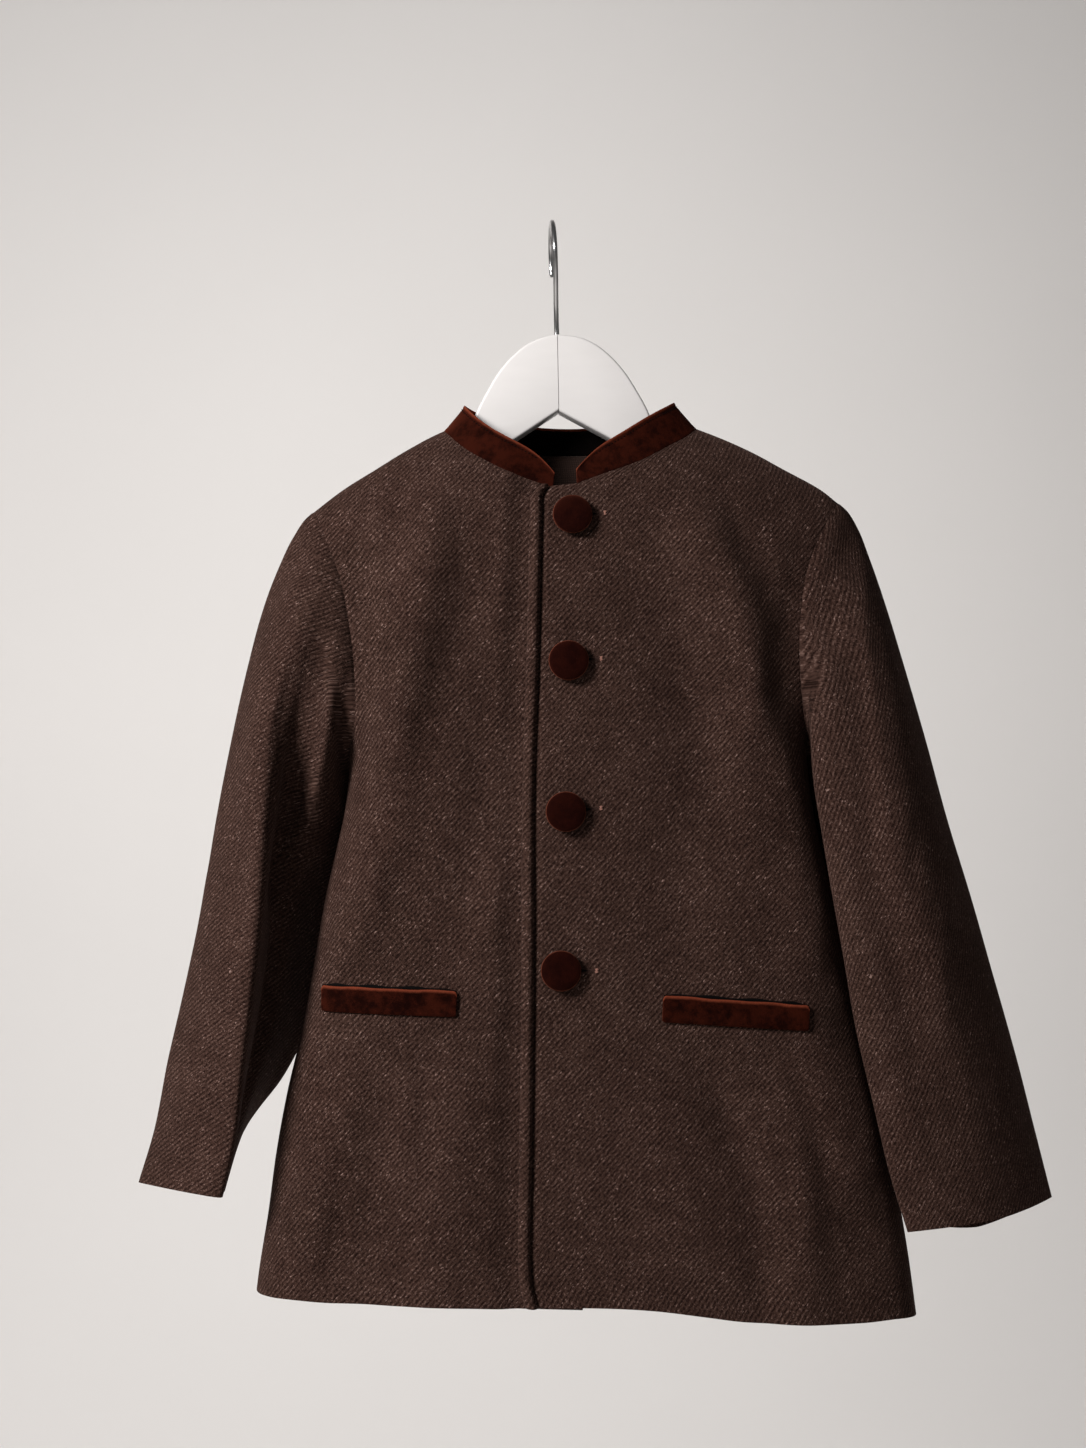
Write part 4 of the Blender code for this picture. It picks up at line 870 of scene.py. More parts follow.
# Creases on a sleeve, as (round start, down start, round end, down end, half width, height):
# round runs from 0 outside, over the front to 1 inside and on to 2, down from 0 to 1
SLEEVE_HALF_ROUND = 112.0
SLEEVE_LONG = 300.0
SLEEVE_CREASES_RAISED = 1.5
SLEEVE_CREASES = {
    "right": (
        (0.20, 0.05, 0.12, 0.30, 6, 0.9), (0.10, 0.12, 0.05, 0.36, 6, -0.8),
        (0.34, 0.30, 0.22, 0.52, 5, -0.9), (0.12, 0.42, 0.20, 0.58, 6, 0.9),
        (0.06, 0.55, 0.19, 0.66, 5, -0.9), (0.04, 0.66, 0.20, 0.80, 6, 0.8),
        (0.18, 0.70, 0.14, 0.98, 6, -0.8), (0.08, 0.84, 0.11, 0.99, 7, 0.7),
        (0.62, 0.20, 0.50, 0.42, 5, 0.8), (0.72, 0.30, 0.60, 0.55, 6, -0.7),
        (0.50, 0.17, 0.47, 0.62, 8.0, -3.4), (0.46, 0.46, 0.46, 0.99, 7.5, -3.2),
        (0.28, 0.10, 0.27, 0.70, 9, 1.6),
        (1.20, 0.10, 1.30, 0.40, 9, 0.9), (1.45, 0.20, 1.40, 0.60, 9, -0.9),
        (1.70, 0.15, 1.62, 0.50, 8, 0.9), (1.15, 0.45, 1.50, 0.56, 6, -0.9),
        (1.10, 0.52, 1.55, 0.66, 6, 0.9), (1.80, 0.50, 1.70, 0.95, 8, -0.8),
        (1.40, 0.70, 1.36, 0.98, 9, 0.8), (1.90, 0.30, 1.86, 0.70, 7, 0.7),
    ),
    "left": (
        (0.25, 0.04, 0.15, 0.28, 6, 0.9), (0.42, 0.06, 0.34, 0.34, 7, -1.0),
        (0.52, 0.10, 0.46, 0.40, 6, 0.9), (0.16, 0.26, 0.26, 0.50, 6, -0.8),
        (0.36, 0.42, 0.30, 0.70, 6, 0.9), (0.44, 0.46, 0.40, 0.80, 6, -1.0),
        (0.20, 0.56, 0.34, 0.66, 5, -0.8), (0.14, 0.64, 0.30, 0.78, 5, 0.8),
        (0.50, 0.66, 0.44, 0.97, 7, 0.8), (0.30, 0.80, 0.27, 0.99, 7, -0.8),
        (0.60, 0.50, 0.56, 0.82, 5, -0.7), (0.10, 0.78, 0.13, 0.99, 6, 0.7),
        (0.46, 0.10, 0.52, 0.90, 11, 1.6), (0.30, 0.20, 0.34, 0.80, 11, -1.6),
        (1.22, 0.12, 1.34, 0.44, 9, -0.9), (1.50, 0.16, 1.44, 0.55, 9, 0.9),
        (1.72, 0.20, 1.66, 0.60, 8, -0.9), (1.18, 0.46, 1.56, 0.55, 6, 0.9),
        (1.12, 0.54, 1.50, 0.64, 6, -0.9), (1.82, 0.48, 1.74, 0.94, 8, 0.8),
        (1.42, 0.68, 1.38, 0.98, 9, -0.8), (1.92, 0.24, 1.88, 0.66, 7, 0.7),
    ),
}


def away_from(edge, inside, closed):
    """Which way a panel's edge faces, within the panel and square to the edge."""
    tangent = np.roll(edge, -1, axis=0) - np.roll(edge, 1, axis=0)
    if not closed:
        tangent = np.gradient(edge, axis=0)
    tangent = unit(tangent)
    away = edge - inside
    return unit(away - tangent * np.sum(away * tangent, axis=1, keepdims=True))


def seam_start(grid, normals, edge_normals, away):
    """Moves a grid's first row off the seam that it starts at, and returns its inner grid."""
    fold = np.clip(-np.sum(normals[0] * edge_normals, axis=1, keepdims=True), 0, 1)
    grid[0] += unit(away + edge_normals * fold) * SEAM_CLOSED
    inward = -normals
    into = np.sum(inward[0] * away, axis=1, keepdims=True)
    inward[0] = unit(inward[0] - away * np.minimum(into, 0))
    return grid + inward * CLOTH


def armhole_ring(side):
    """The armhole's edge in one ring, from the shoulder tip down the front and up the back."""
    last = len(ARMHOLE_ROWS)
    column = 0 if side == "right" else -1
    parts = [(grids["front_" + side][:last, 0], facing["front_" + side][:last, 0],
              grids["front_" + side][:last, 1]),
             (grids["back"][last - 2:0:-1, column], facing["back"][last - 2:0:-1, column],
              grids["back"][last - 2:0:-1, 1 if side == "right" else -2])]
    edge, facing_out, inside = (np.vstack([part[k] for part in parts]) for k in range(3))
    away = away_from(edge, inside, closed=True)
    away[0] = unit(away[1] + away[-1])
    away[last - 1] = unit(away[last - 2] + away[last])
    return edge, facing_out, away


def ring_places():
    """How far round each half of a section its columns lie: 0 to 1 in front, then back."""
    return np.array(list(ARMHOLE_ROWS) + [2 - f for f in ARMHOLE_ROWS[-2:0:-1]])


def section_ring(row):
    """One section of a sleeve: its named points, joined by a smooth closed curve."""
    named = dict(zip(SLEEVE_COLUMNS, row))
    points = [(*named[name], named["top"] + share * (named["bottom"] - named["top"]))
              for name, share in ROUND_FRONT.items()]
    points.append((*named["back"], (named["top"] + named["bottom"]) / 2 - named["drop"]))
    keys = list(ROUND_FRONT.values()) + [1.5, 2.0]
    ring = np.array(points)
    around = np.vstack([ring[-1], ring, ring[0], ring[1]])
    dense, place = [], []
    for i in range(1, len(ring) + 1):
        for t in np.linspace(0, 1, SPLINE_STEPS, endpoint=False):
            dense.append(smooth_step(around, i, t))
            place.append(keys[i - 1] + t * (keys[i] - keys[i - 1]))
    dense = np.array(dense + [ring[0]])
    place.append(2.0)
    return read_at(dense, place, ring_places())


def sleeve_grid(side, hole):
    """A sleeve's outer grid from the armhole to the cuff."""
    rings = np.array([hole] + [section_ring(row) for row in SLEEVE[side]])
    rows, cols = rings.shape[:2]
    grid = np.zeros((SLEEVE_ROWS + 1, cols, 3))
    share = np.linspace(0, 1, SLEEVE_ROWS + 1) ** SLEEVE_ROWS_CLOSER
    for c in range(cols):
        ends = np.vstack([2 * rings[0, c] - rings[1, c], rings[:, c],
                          2 * rings[-1, c] - rings[-2, c]])
        for r, place in enumerate(share * (rows - 1)):
            i = min(int(place), rows - 2)
            grid[r, c] = smooth_step(ends, i + 1, place - i)
    return grid


def sleeve_normals(grid):
    """A sleeve's normals, pointing out of it."""
    normals = normals_of(grid, closed=True)
    outward = np.sum(normals * (grid - grid.mean(axis=1, keepdims=True)))
    return normals if outward > 0 else -normals


def sleeve_relief(side, grid):
    """The cap's swelling and the small creases, as heights over the sleeve's grid."""
    rows, cols = grid.shape[:2]
    round_at = np.broadcast_to(ring_places(), (rows, cols)) * SLEEVE_HALF_ROUND
    down = np.broadcast_to(np.linspace(0, 1, rows)[:, None], (rows, cols)) * SLEEVE_LONG
    scaled = [(a * SLEEVE_HALF_ROUND, b * SLEEVE_LONG, c * SLEEVE_HALF_ROUND, d * SLEEVE_LONG,
               wide, high) for a, b, c, d, wide, high in SLEEVE_CREASES[side]]
    height = fold_height(round_at, down, scaled, True) * SLEEVE_CREASES_RAISED
    far = np.concatenate([np.zeros((1, cols)),
                          np.cumsum(np.linalg.norm(np.diff(grid, axis=0), axis=-1), axis=0)])
    near = np.exp(-((far - CAP_REACH) / CAP_REACH) ** 2) * ease(far / CAP_STARTS_OVER)
    turn = np.linspace(0, 2 * math.pi, cols, endpoint=False)
    pucker = np.sin(CAP_PUCKERS * turn + 1.3 * np.sin(3 * turn)) * (0.6 + 0.4 * np.sin(2 * turn))
    return height * ease(far / CREASES_START_OVER) + near * (CAP_SWELL + CAP_EASE * pucker)


def sleeve_flat(side, grid):
    """Where a sleeve's points lie on the cloth, in metres, unrolled about its outer line.

    The columns run from the underarm over the back and the outside to the front's underarm.
    """
    half = len(ARMHOLE_ROWS) - 1
    ring = np.concatenate([grid, grid[:, :1]], axis=1)
    far = level_lengths(ring)
    reach = np.concatenate([(far[:, -1:] - far)[:, half:-1], far[:, :half + 1]], axis=1)
    down = np.concatenate([ring[:, half:-1, 2], ring[:, :half + 1, 2]], axis=1)
    x = grid[:, :1, 0] + (reach if side == "right" else -reach)
    turn = math.radians(SLEEVE_TILT[side])
    across = x * math.cos(turn) - down * math.sin(turn)
    middle = grid[:, :1, 0] * math.cos(turn) - grid[:, :1, 2] * math.sin(turn)
    behind = np.arange(reach.shape[1]) < grid.shape[1] - half
    across = np.where(behind, 2 * middle - across, across)
    return np.stack([across, x * math.sin(turn) + down * math.cos(turn)], axis=-1) * MM


sleeves = {}
for side in ("right", "left"):
    hole, hole_normals, away = armhole_ring(side)
    outer = sleeve_grid(side, hole)
    outer += sleeve_normals(outer) * sleeve_relief(side, outer)[..., None]
    normals = sleeve_normals(outer)
    inner = seam_start(outer, normals, hole_normals, away)
    flat = sleeve_flat(side, outer)
    under = 1 - len(ARMHOLE_ROWS)
    outer, inner = np.roll(outer, under, axis=1), np.roll(inner, under, axis=1)
    sleeves[side] = sewn_wall("sleeve_%s_cloth" % side, outer, inner, flat, closed=True)
    place_on(sleeves[side], "sleeve_" + side, twill)


# The collar: a stand of rust velvet, 18 mm high, sewn to the neck edge and lined with black
# velvet, whose darkness is partly painted shade. Its upper edge is turned over a cord-like
# fold, with a painted highlight along it, and pricked by hand just below it.
COLLAR_HEIGHT = 18.0
COLLAR_HEIGHT_BACK = 14.5
COLLAR_LEAN = 0.30
COLLAR_LEAN_SIDE = 0.26
COLLAR_END_ROUND = 9.0
COLLAR_CENTRE_Y = -4.0
COLLAR_BACK_SHARE = 0.22
COLLAR_TALLER = 3.4
COLLAR_TALLER_AT = 0.835
COLLAR_TALLER_HALF = 0.06
COLLAR_ROWS = 14
COLLAR_EDGE = 1.6
COLLAR_EDGE_ROLL = 0.45
COLLAR_WAVES = 0.35
COLLAR_WAVE = 13.0
COLLAR_SLOW_WAVE = 31.0
COLLAR_PEAK = 2.4
COLLAR_PEAK_HALF = 9.0
COLLAR_SOFTENED = 40
COLLAR_FACING_FROM = 0.35
LINING = 1.2
LINING_INSET = 2
FACING_INSET = 5
NECK_FACING_ROWS = 30
TAUPE_DARK = (0.030, 0.0175, 0.014)
TAUPE_PALE = (0.050, 0.0305, 0.025)
TAUPE_DEEP = 0.00015
TAUPE_THREADS = 260.0
TAUPE_UNEVEN = 2.5
COLLAR_NORMALS_SOFTENED = 8
PRICK_DIP = 0.35
PRICK_DIP_HALF = 0.8
PRICK_THICK = 0.30
PRICK_LIFT = 0.12
PRICK_BELOW = 2.9
PRICK_LONG = 1.2
PRICK_APART = 2.1
PRICKS_FROM_END = 5
THREAD_STATIONS = (-1.0, -0.6, 0.0, 0.6, 1.0)
THREAD_ROUND = 6
THREAD_PLY = 0.0005
THREAD_DEEP = 0.0001
STEP_AHEAD = 0.2
# The painted highlight along the collar's fold: its width, where it starts below the fold and how
# ragged its edge is, in metres
RIM_LIT = 0.0019
RIM_FROM = 0.0007
RIM_RAGGED = 0.0012
PILE_CLOUD = 0.010
PILE_CRUSHED = 0.0030
PILE_TUFT = 0.00055
PILE_DEEP = 0.00035
PILE_SHARE = {"cloud": 0.75, "crushed": 0.45, "tuft": 0.35}
PILE_DARKER = 0.25
# How sharply the painted sheen gathers where the pile turns away from the view
PAINTED_SHEEN_POWER = 2.2
RIM_HIGHLIGHT_STRENGTH = 0.42


def velvet_finish(name, deep, lit, sheen, sheen_weight, mottle, painted_sheen, rim=0.0):
    """Cotton velvet: a dark pile with a painted sheen where it turns away, and a painted highlight
    along the rim of its folds.

    Where there is a rim, a painted highlight runs along the fold, and the second flat coordinate is
    how far below the fold a place lies.
    """
    cloth = Finish(name, Roughness=0.9, Specular_IOR_Level=0.03, Sheen_Weight=sheen_weight,
                   Sheen_Roughness=0.32, Sheen_Tint=sheen)
    here = cloth.here()
    clouds = cloth.noise(here, PILE_CLOUD, 4)
    crushed = cloth.noise(here, PILE_CRUSHED, 3)
    pile = cloth.noise(here, PILE_TUFT, 2)
    tone = cloth.sum("MULTIPLY_ADD", crushed, PILE_SHARE["crushed"],
                     cloth.sum("MULTIPLY", clouds, PILE_SHARE["cloud"]))
    tone = cloth.sum("MULTIPLY_ADD", pile, PILE_SHARE["tuft"],
                     cloth.sum("SUBTRACT", tone, PILE_DARKER))
    spread = cloth.step(tone, 0.5 - mottle, 0.5 + mottle)
    colour = cloth.blend(spread, deep, lit)
    # Painted sheen: towards grazing edges the colour turns to the sheen colour, on top of the
    # shader's own sheen
    edge = cloth.node("LayerWeight", [("Blend", 0.30)]).outputs["Facing"]
    sheen_painted_where_turned = cloth.sum("MULTIPLY", cloth.sum("POWER", edge, PAINTED_SHEEN_POWER), painted_sheen)
    colour = cloth.blend(sheen_painted_where_turned, colour, sheen)
    # Painted highlight: a band in the sheen colour along the fold at the collar's top
    if rim:
        parts = cloth.node("SeparateXYZ", [("Vector", cloth.here("UV"))])
        ragged = cloth.sum("MULTIPLY_ADD", crushed, RIM_RAGGED, parts.outputs[1])
        near = cloth.sum("SUBTRACT", 1.0, cloth.step(ragged, RIM_FROM, rim + RIM_FROM))
        colour = cloth.blend(cloth.sum("MULTIPLY", near, RIM_HIGHLIGHT_STRENGTH), colour, sheen)
    cloth.feed(cloth.shader, "Base Color", colour)
    height = cloth.sum("MULTIPLY_ADD", pile, 0.6, cloth.sum("MULTIPLY", crushed, 0.8))
    cloth.relief(height, PILE_DEEP)
    return cloth


def neck_edge():
    """The neck edge from the right front's collar end, round the back, to the left's."""
    first, last = COLUMNS["shoulder"], COLUMNS["shoulder"] + COLUMNS["neck"]
    back_first, back_last = first, first + COLUMNS["back_neck"]
    pieces = []
    for name, picked in (("front_right", list(range(last, first - 1, -1))),
                         ("back", list(range(back_first + 1, back_last))),
                         ("front_left", list(range(first, last + 1)))):
        pieces.append((grids[name][0, picked], facing[name][0, picked], grids[name][1, picked]))
    return tuple(np.vstack([piece[k] for piece in pieces]) for k in range(3))


def collar_grid():
    """The collar's outer grid, its rows from the neck edge up, and its height at each column."""
    edge, edge_normals, below = neck_edge()
    far = lengths(edge)
    share = far / far[-1]
    inward = np.array([BODY_AXIS, COLLAR_CENTRE_Y, 0.0]) - edge
    inward[:, 2] = 0
    inward = unit(inward)
    lean = COLLAR_LEAN + COLLAR_LEAN_SIDE * np.abs(inward[:, :1])
    rise = unit(inward * lean + np.array([0, 0, 1.0]))
    at_back = ease(1 - np.abs(share - 0.5) / COLLAR_BACK_SHARE)
    height = COLLAR_HEIGHT + (COLLAR_HEIGHT_BACK - COLLAR_HEIGHT) * at_back
    taller = np.exp(-((share - COLLAR_TALLER_AT) / COLLAR_TALLER_HALF) ** 2)
    height = height + COLLAR_TALLER * taller
    from_end = np.minimum(far, far[-1] - far)
    into = np.clip(1 - from_end / COLLAR_END_ROUND, 0, 1)
    height = height - COLLAR_END_ROUND * (1 - np.sqrt(1 - into ** 2))
    away = away_from(edge, below, closed=False)
    for corner in (COLUMNS["neck"], COLUMNS["neck"] + COLUMNS["back_neck"]):
        away[corner] = unit(away[corner - 1] + away[corner + 1])
        height = height + COLLAR_PEAK * np.exp(-((far - far[corner]) / COLLAR_PEAK_HALF) ** 2)
    rows = np.array([edge + rise * height[:, None] * k / COLLAR_ROWS
                     for k in range(COLLAR_ROWS + 1)])
    for k in range(1, COLLAR_ROWS + 1):
        for _ in range(round(COLLAR_SOFTENED * k / COLLAR_ROWS)):
            rows[k, 1:-1] = (rows[k, :-2] + 2 * rows[k, 1:-1] + rows[k, 2:]) / 4
    return rows, edge_normals, away, height


def stitches(name, places, along_each, outward, long, thick, finish):
    """A row of short stitches, each a little bowed thread that dips into the cloth."""
    verts, faces = [], []
    for place, run, out in zip(places, unit(along_each), unit(outward)):
        side = np.cross(run, out)
        for t in THREAD_STATIONS:
            centre = place + run * t * long / 2 + out * thick * (0.55 - 1.3 * t * t)
            width = thick * (1 - 0.45 * t * t)
            for k in range(THREAD_ROUND):
                turn = 2 * math.pi * k / THREAD_ROUND
                verts.append(centre + (side * math.cos(turn) + out * math.sin(turn)) * width)
        base = len(verts) - THREAD_ROUND * len(THREAD_STATIONS)
        far_end = len(verts) - THREAD_ROUND
        for start in range(base, far_end, THREAD_ROUND):
            for k in range(THREAD_ROUND):
                a, b = start + k, start + (k + 1) % THREAD_ROUND
                faces.append((a, b, b + THREAD_ROUND, a + THREAD_ROUND))
        faces.append(tuple(range(base + THREAD_ROUND - 1, base - 1, -1)))
        faces.append(tuple(range(far_end, len(verts))))
    mesh = bpy.data.meshes.new(name)
    mesh.from_pydata((np.array(verts) * MM).tolist(), [], faces)
    mesh.shade_smooth()
    place_on(in_scene(name, mesh), None, finish)


def spaced(line, apart, directions):
    """Places along a line, the run of the line there and one of its directions."""
    far = lengths(line)
    want = np.arange(apart / 2, far[-1], apart)
    places = read_at(line, far, want)
    run = read_at(line, far, want + STEP_AHEAD) - places
    run[-1] = run[-2]
    return places, run, read_at(directions, far, want)


def thread_finish(name, dark, pale):
    """Twisted sewing thread; with near-black colours, the same finish paints the shadow in slits.
    """
    thread = Finish(name, Roughness=0.85, Specular_IOR_Level=0.08)
    ply = thread.noise(thread.here(), THREAD_PLY, 2)
    thread.feed(thread.shader, "Base Color", thread.blend(ply, dark, pale))
    thread.relief(ply, THREAD_DEEP)
    return thread


# Each velvet: darker and lighter pile colours, sheen colour, the shader's sheen weight, mottle,
# strength of its painted sheen and, for the collar, width of its painted highlight rim
velvet = velvet_finish("rust velvet", (0.0060, 0.0008, 0.0003), (0.024, 0.0040, 0.0017),
                       (0.30, 0.066, 0.032), 0.018, 0.17, 0.36, RIM_LIT)
button_velvet = velvet_finish("rust velvet on buttons", (0.0060, 0.0007, 0.0004),
                              (0.013, 0.0020, 0.0010), (0.44, 0.125, 0.070), 0.03, 0.25,
                              1.0)
# The lining's near-black colours: partly the cloth's own black, partly painted shade inside the
# collar
black = velvet_finish("black velvet", (0.0010, 0.0006, 0.0006), (0.0030, 0.0018, 0.0016),
                      (0.03, 0.02, 0.02), 0.04, 0.3, 0.5)
dark_thread = thread_finish("dark brown thread", (0.0012, 0.0005, 0.0004),
                            (0.0040, 0.0014, 0.0010))
outer, neck_normals, away, height = collar_grid()
normals = normals_of(outer)
from_axis = outer - np.array([BODY_AXIS, 0.0, 0.0])
from_axis[..., 2] = 0
if np.sum(normals * from_axis) < 0:
    normals = -normals
for _ in range(COLLAR_NORMALS_SOFTENED):
    normals[:, 1:-1] = unit(normals[:, :-2] + 2 * normals[:, 1:-1] + normals[:, 2:])
below_edge = height * (1 - np.linspace(0, 1, COLLAR_ROWS + 1)[:, None])
far = lengths(outer[0])
wave = np.sin(far / COLLAR_WAVE) * np.sin(far / COLLAR_SLOW_WAVE + 1.0) * COLLAR_WAVES
roll = COLLAR_EDGE_ROLL * np.exp(-(below_edge / COLLAR_EDGE) ** 2)
dip = -PRICK_DIP * np.exp(-((below_edge - PRICK_BELOW) / PRICK_DIP_HALF) ** 2)
outer += normals * (roll + dip + wave * (1 - below_edge / COLLAR_HEIGHT))[..., None]
inner = seam_start(outer, normals, neck_normals, away)
flat = np.stack([np.broadcast_to(far, below_edge.shape), below_edge], axis=-1) * MM
collar = sewn_wall("collar_velvet", outer, inner, flat, rounded=1.0)
place_on(collar, "collar", velvet)
up = (1 - PRICK_BELOW / height) * COLLAR_ROWS
low, columns = up.astype(int), np.arange(len(up))
part = (up - low)[:, None]
pricks = outer[low, columns] * (1 - part) + outer[low + 1, columns] * part
pricks += normals[low, columns] * PRICK_LIFT
inset = slice(PRICKS_FROM_END, -PRICKS_FROM_END)
stitches("collar_pricks", *spaced(pricks[inset], PRICK_APART, normals[-2][inset]),
         PRICK_LONG, PRICK_THICK, dark_thread)


# Inside the neck: the collar's black velvet lining, its darkness partly painted shade inside
# the collar, and below it the back's facing of taupe wool.
def inside_layer(name, under, outward, thick, node, finish):
    """A thin layer lying just inside an inner grid."""
    top = under - outward * SEAM
    wall = sewn_wall(name, top, top - outward * thick, laid_flat(top, 0), rounded=0.3)
    return place_on(wall, node, finish)


start = inner[0] + (inner[1] - inner[0]) * COLLAR_FACING_FROM
shown = slice(LINING_INSET, -LINING_INSET)
lining = np.vstack([start[None], inner[1:-1]])[:, shown]
collar_lining = inside_layer("collar_lining", lining, normals[:-1, shown], LINING,
                             "collar_facing", black)
taupe = Finish("taupe facing wool", Roughness=0.95, Specular_IOR_Level=0.04,
               Sheen_Weight=0.05, Sheen_Roughness=0.5)
here = taupe.here("UV")
weft, warp = (taupe.node("TexWave", [("Vector", here), ("Scale", TAUPE_THREADS),
                                     ("Distortion", TAUPE_UNEVEN)],
                         bands_direction=way).outputs["Fac"] for way in "YX")
mixed = taupe.sum("MULTIPLY", taupe.sum("ADD", warp, weft), 0.5)
taupe.feed(taupe.shader, "Base Color", taupe.blend(mixed, TAUPE_DARK, TAUPE_PALE))
taupe.relief(mixed, TAUPE_DEEP)
first = COLUMNS["shoulder"]
picked = slice(first + FACING_INSET + 1, first + COLUMNS["back_neck"] - FACING_INSET)
outward = facing["back"][:NECK_FACING_ROWS + 1, picked]
neck_facing = inside_layer("neck_facing_wool", grids["back"][:NECK_FACING_ROWS + 1, picked]
                           - outward * CLOTH, outward, LINING, "neck_facing", taupe)


# The pocket welts: folded strips of the same velvet, sewn over the pocket mouths along
# their lower edge and ends. The upper edge is the fold and stands a little off the cloth.
WELTS = {
    "right": ((-132, -417), (-60, -420.5), (-61, -434), (-132, -430.5)),
    "left": ((126, -432.5), (48, -425), (47, -439), (125, -446)),
}
WELT_THICK = 1.8
WELT_GAP = 0.5
WELT_CORNER = 1.8
WELT_UNEVEN = 0.25
WELT_SMOOTHED = 6
WELT_FOLD = 0.45
WELT_CRUSHED = 0.18
WELT_SEWN_DOWN = 0.6
WELT_COLUMNS = 90
WELT_ROWS = 18
WELL_IN_FRONT = 200.0
# The rows of the painted shadow strip at a pocket's mouth, as mm above the welt's fold
MOUTH_SHADOW_ROWS = (1.3, 0.3, -0.8)
MOUTH_SHADOW_HALF = 0.2
MOUTH_SHADOW_INSET = 0.004


def tree_of(piece):
    """A piece's faces, ready to be met by a line."""
    mesh = piece.data
    return BVHTree.FromPolygons([v.co.copy() for v in mesh.vertices],
                                [tuple(p.vertices) for p in mesh.polygons])


def on_panel(tree, x, z):
    """The panel's own surface in front of (x, z), and which way it faces."""
    hit, normal, _, _ = tree.ray_cast(Vector((x, -WELL_IN_FRONT, z)) * MM, Vector(-FORWARD))
    return np.array(hit) / MM, np.array(normal)


def welt(side):
    """A welt made from its panel's points, moved out, with rounded corners and a folded edge."""
    tree = tree_of(panels["front_" + side])
    corners = np.array(WELTS[side], float)
    long = np.linalg.norm(corners[1] - corners[0])
    grid = np.zeros((WELT_ROWS + 1, WELT_COLUMNS + 1, 3))
    for c, across in enumerate(np.linspace(0, 1, WELT_COLUMNS + 1)):
        upper = corners[0] + (corners[1] - corners[0]) * across
        lower = corners[3] + (corners[2] - corners[3]) * across
        high = np.linalg.norm(upper - lower)
        from_end = long * min(across, 1 - across)
        cut = WELT_CORNER - math.sqrt(max(WELT_CORNER ** 2
                                          - max(WELT_CORNER - from_end, 0) ** 2, 0))
        wobble = WELT_UNEVEN * math.sin(across * 17) * math.sin(across * 5 + 0.6)
        for r, down in enumerate(np.linspace(0, 1, WELT_ROWS + 1)):
            share = (cut + wobble * (1 - down) + down * (high - 1.4 * cut)) / high
            x, z = upper + (lower - upper) * share
            grid[r, c] = on_panel(tree, x, z)[0]
    for _ in range(WELT_SMOOTHED):
        grid[1:-1, 1:-1, 1] = (grid[1:-1, 1:-1, 1] * 2 + grid[:-2, 1:-1, 1] + grid[2:, 1:-1, 1]
                               + grid[1:-1, :-2, 1] + grid[1:-1, 2:, 1]) / 6
    inner = grid + FORWARD * WELT_GAP
    down = np.linspace(0, 1, WELT_ROWS + 1)[:, None]
    across = np.linspace(0, 1, WELT_COLUMNS + 1)[None]
    folded = WELT_FOLD * np.exp(-((down - 0.06) / 0.07) ** 2)
    crushed = WELT_CRUSHED * np.sin(across * 23 + 2 * down) * np.sin(across * 9 + down * 3)
    sewn = -WELT_SEWN_DOWN * np.exp(-((1 - down) / 0.05) ** 2)
    outer = inner + FORWARD * (WELT_THICK + folded + crushed + sewn)[..., None]
    flat = laid_flat(outer, 0)
    flat[..., 1] = flat[0, :, 1] - flat[..., 1]
    wall = sewn_wall("welt_%s_velvet" % side, outer, inner, flat, rounded=0.7)
    place_on(wall, "welt_" + side, velvet)


def pocket_mouth_shadow(side):
    """A painted shadow at the pocket's mouth: a dark strip lying on the cloth just above the welt's
    fold.
    """
    tree = tree_of(panels["front_" + side])
    corners = np.array(WELTS[side], float)
    rows = []
    for above in MOUTH_SHADOW_ROWS:
        row = []
        for across in np.linspace(MOUTH_SHADOW_INSET, 1 - MOUTH_SHADOW_INSET, WELT_COLUMNS + 1):
            narrow = min(1, 8 * across, 8 * (1 - across)) * (1 + 0.3 * math.sin(across * 21))
            x, z = corners[0] + (corners[1] - corners[0]) * across
            row.append(on_panel(tree, x, z + max(above, 0) * narrow + min(above, 0))[0])
        rows.append(row)
    rows = np.array(rows)
    wall = sewn_wall("pocket_mouth_shadow_" + side, rows + FORWARD * MOUTH_SHADOW_HALF,
                     rows - FORWARD * MOUTH_SHADOW_HALF, laid_flat(rows, 0), rounded=0)
    place_on(wall, None, painted_slit_shadow)


# Painted shadow: a near-black sheet laid in the buttonholes' slits and along the pockets' mouths
painted_slit_shadow = thread_finish("shadow inside a slit", (0.0006, 0.0003, 0.0002),
                          (0.0012, 0.0006, 0.0005))
for side in ("right", "left"):
    welt(side)
for side in ("right", "left"):
    pocket_mouth_shadow(side)


# The buttons: domed shank buttons, 21 mm across, covered with the velvet, which is gathered
# behind. Each stands at the end of a hand-worked buttonhole, cut 17 mm towards the wearer's
# left.
BUTTON_RADIUS = 10.5
BUTTON_THICK = 4.6
BUTTON_DOME = 2.4
BUTTON_STAND = 1.7
BUTTON_SHANK = 3.2
BUTTON_EDGE = 1.5
BUTTON_EDGE_DEEP = 1.1
BUTTON_GATHERS = 24
BUTTON_GATHERED = 0.03
GATHERED_BELOW = 1.2
BUTTONS = ((5.5, -170.6), (1.6, -248.4), (-1.4, -328.0), (-5.6, -410.9))
BUTTON_ROUND = 96


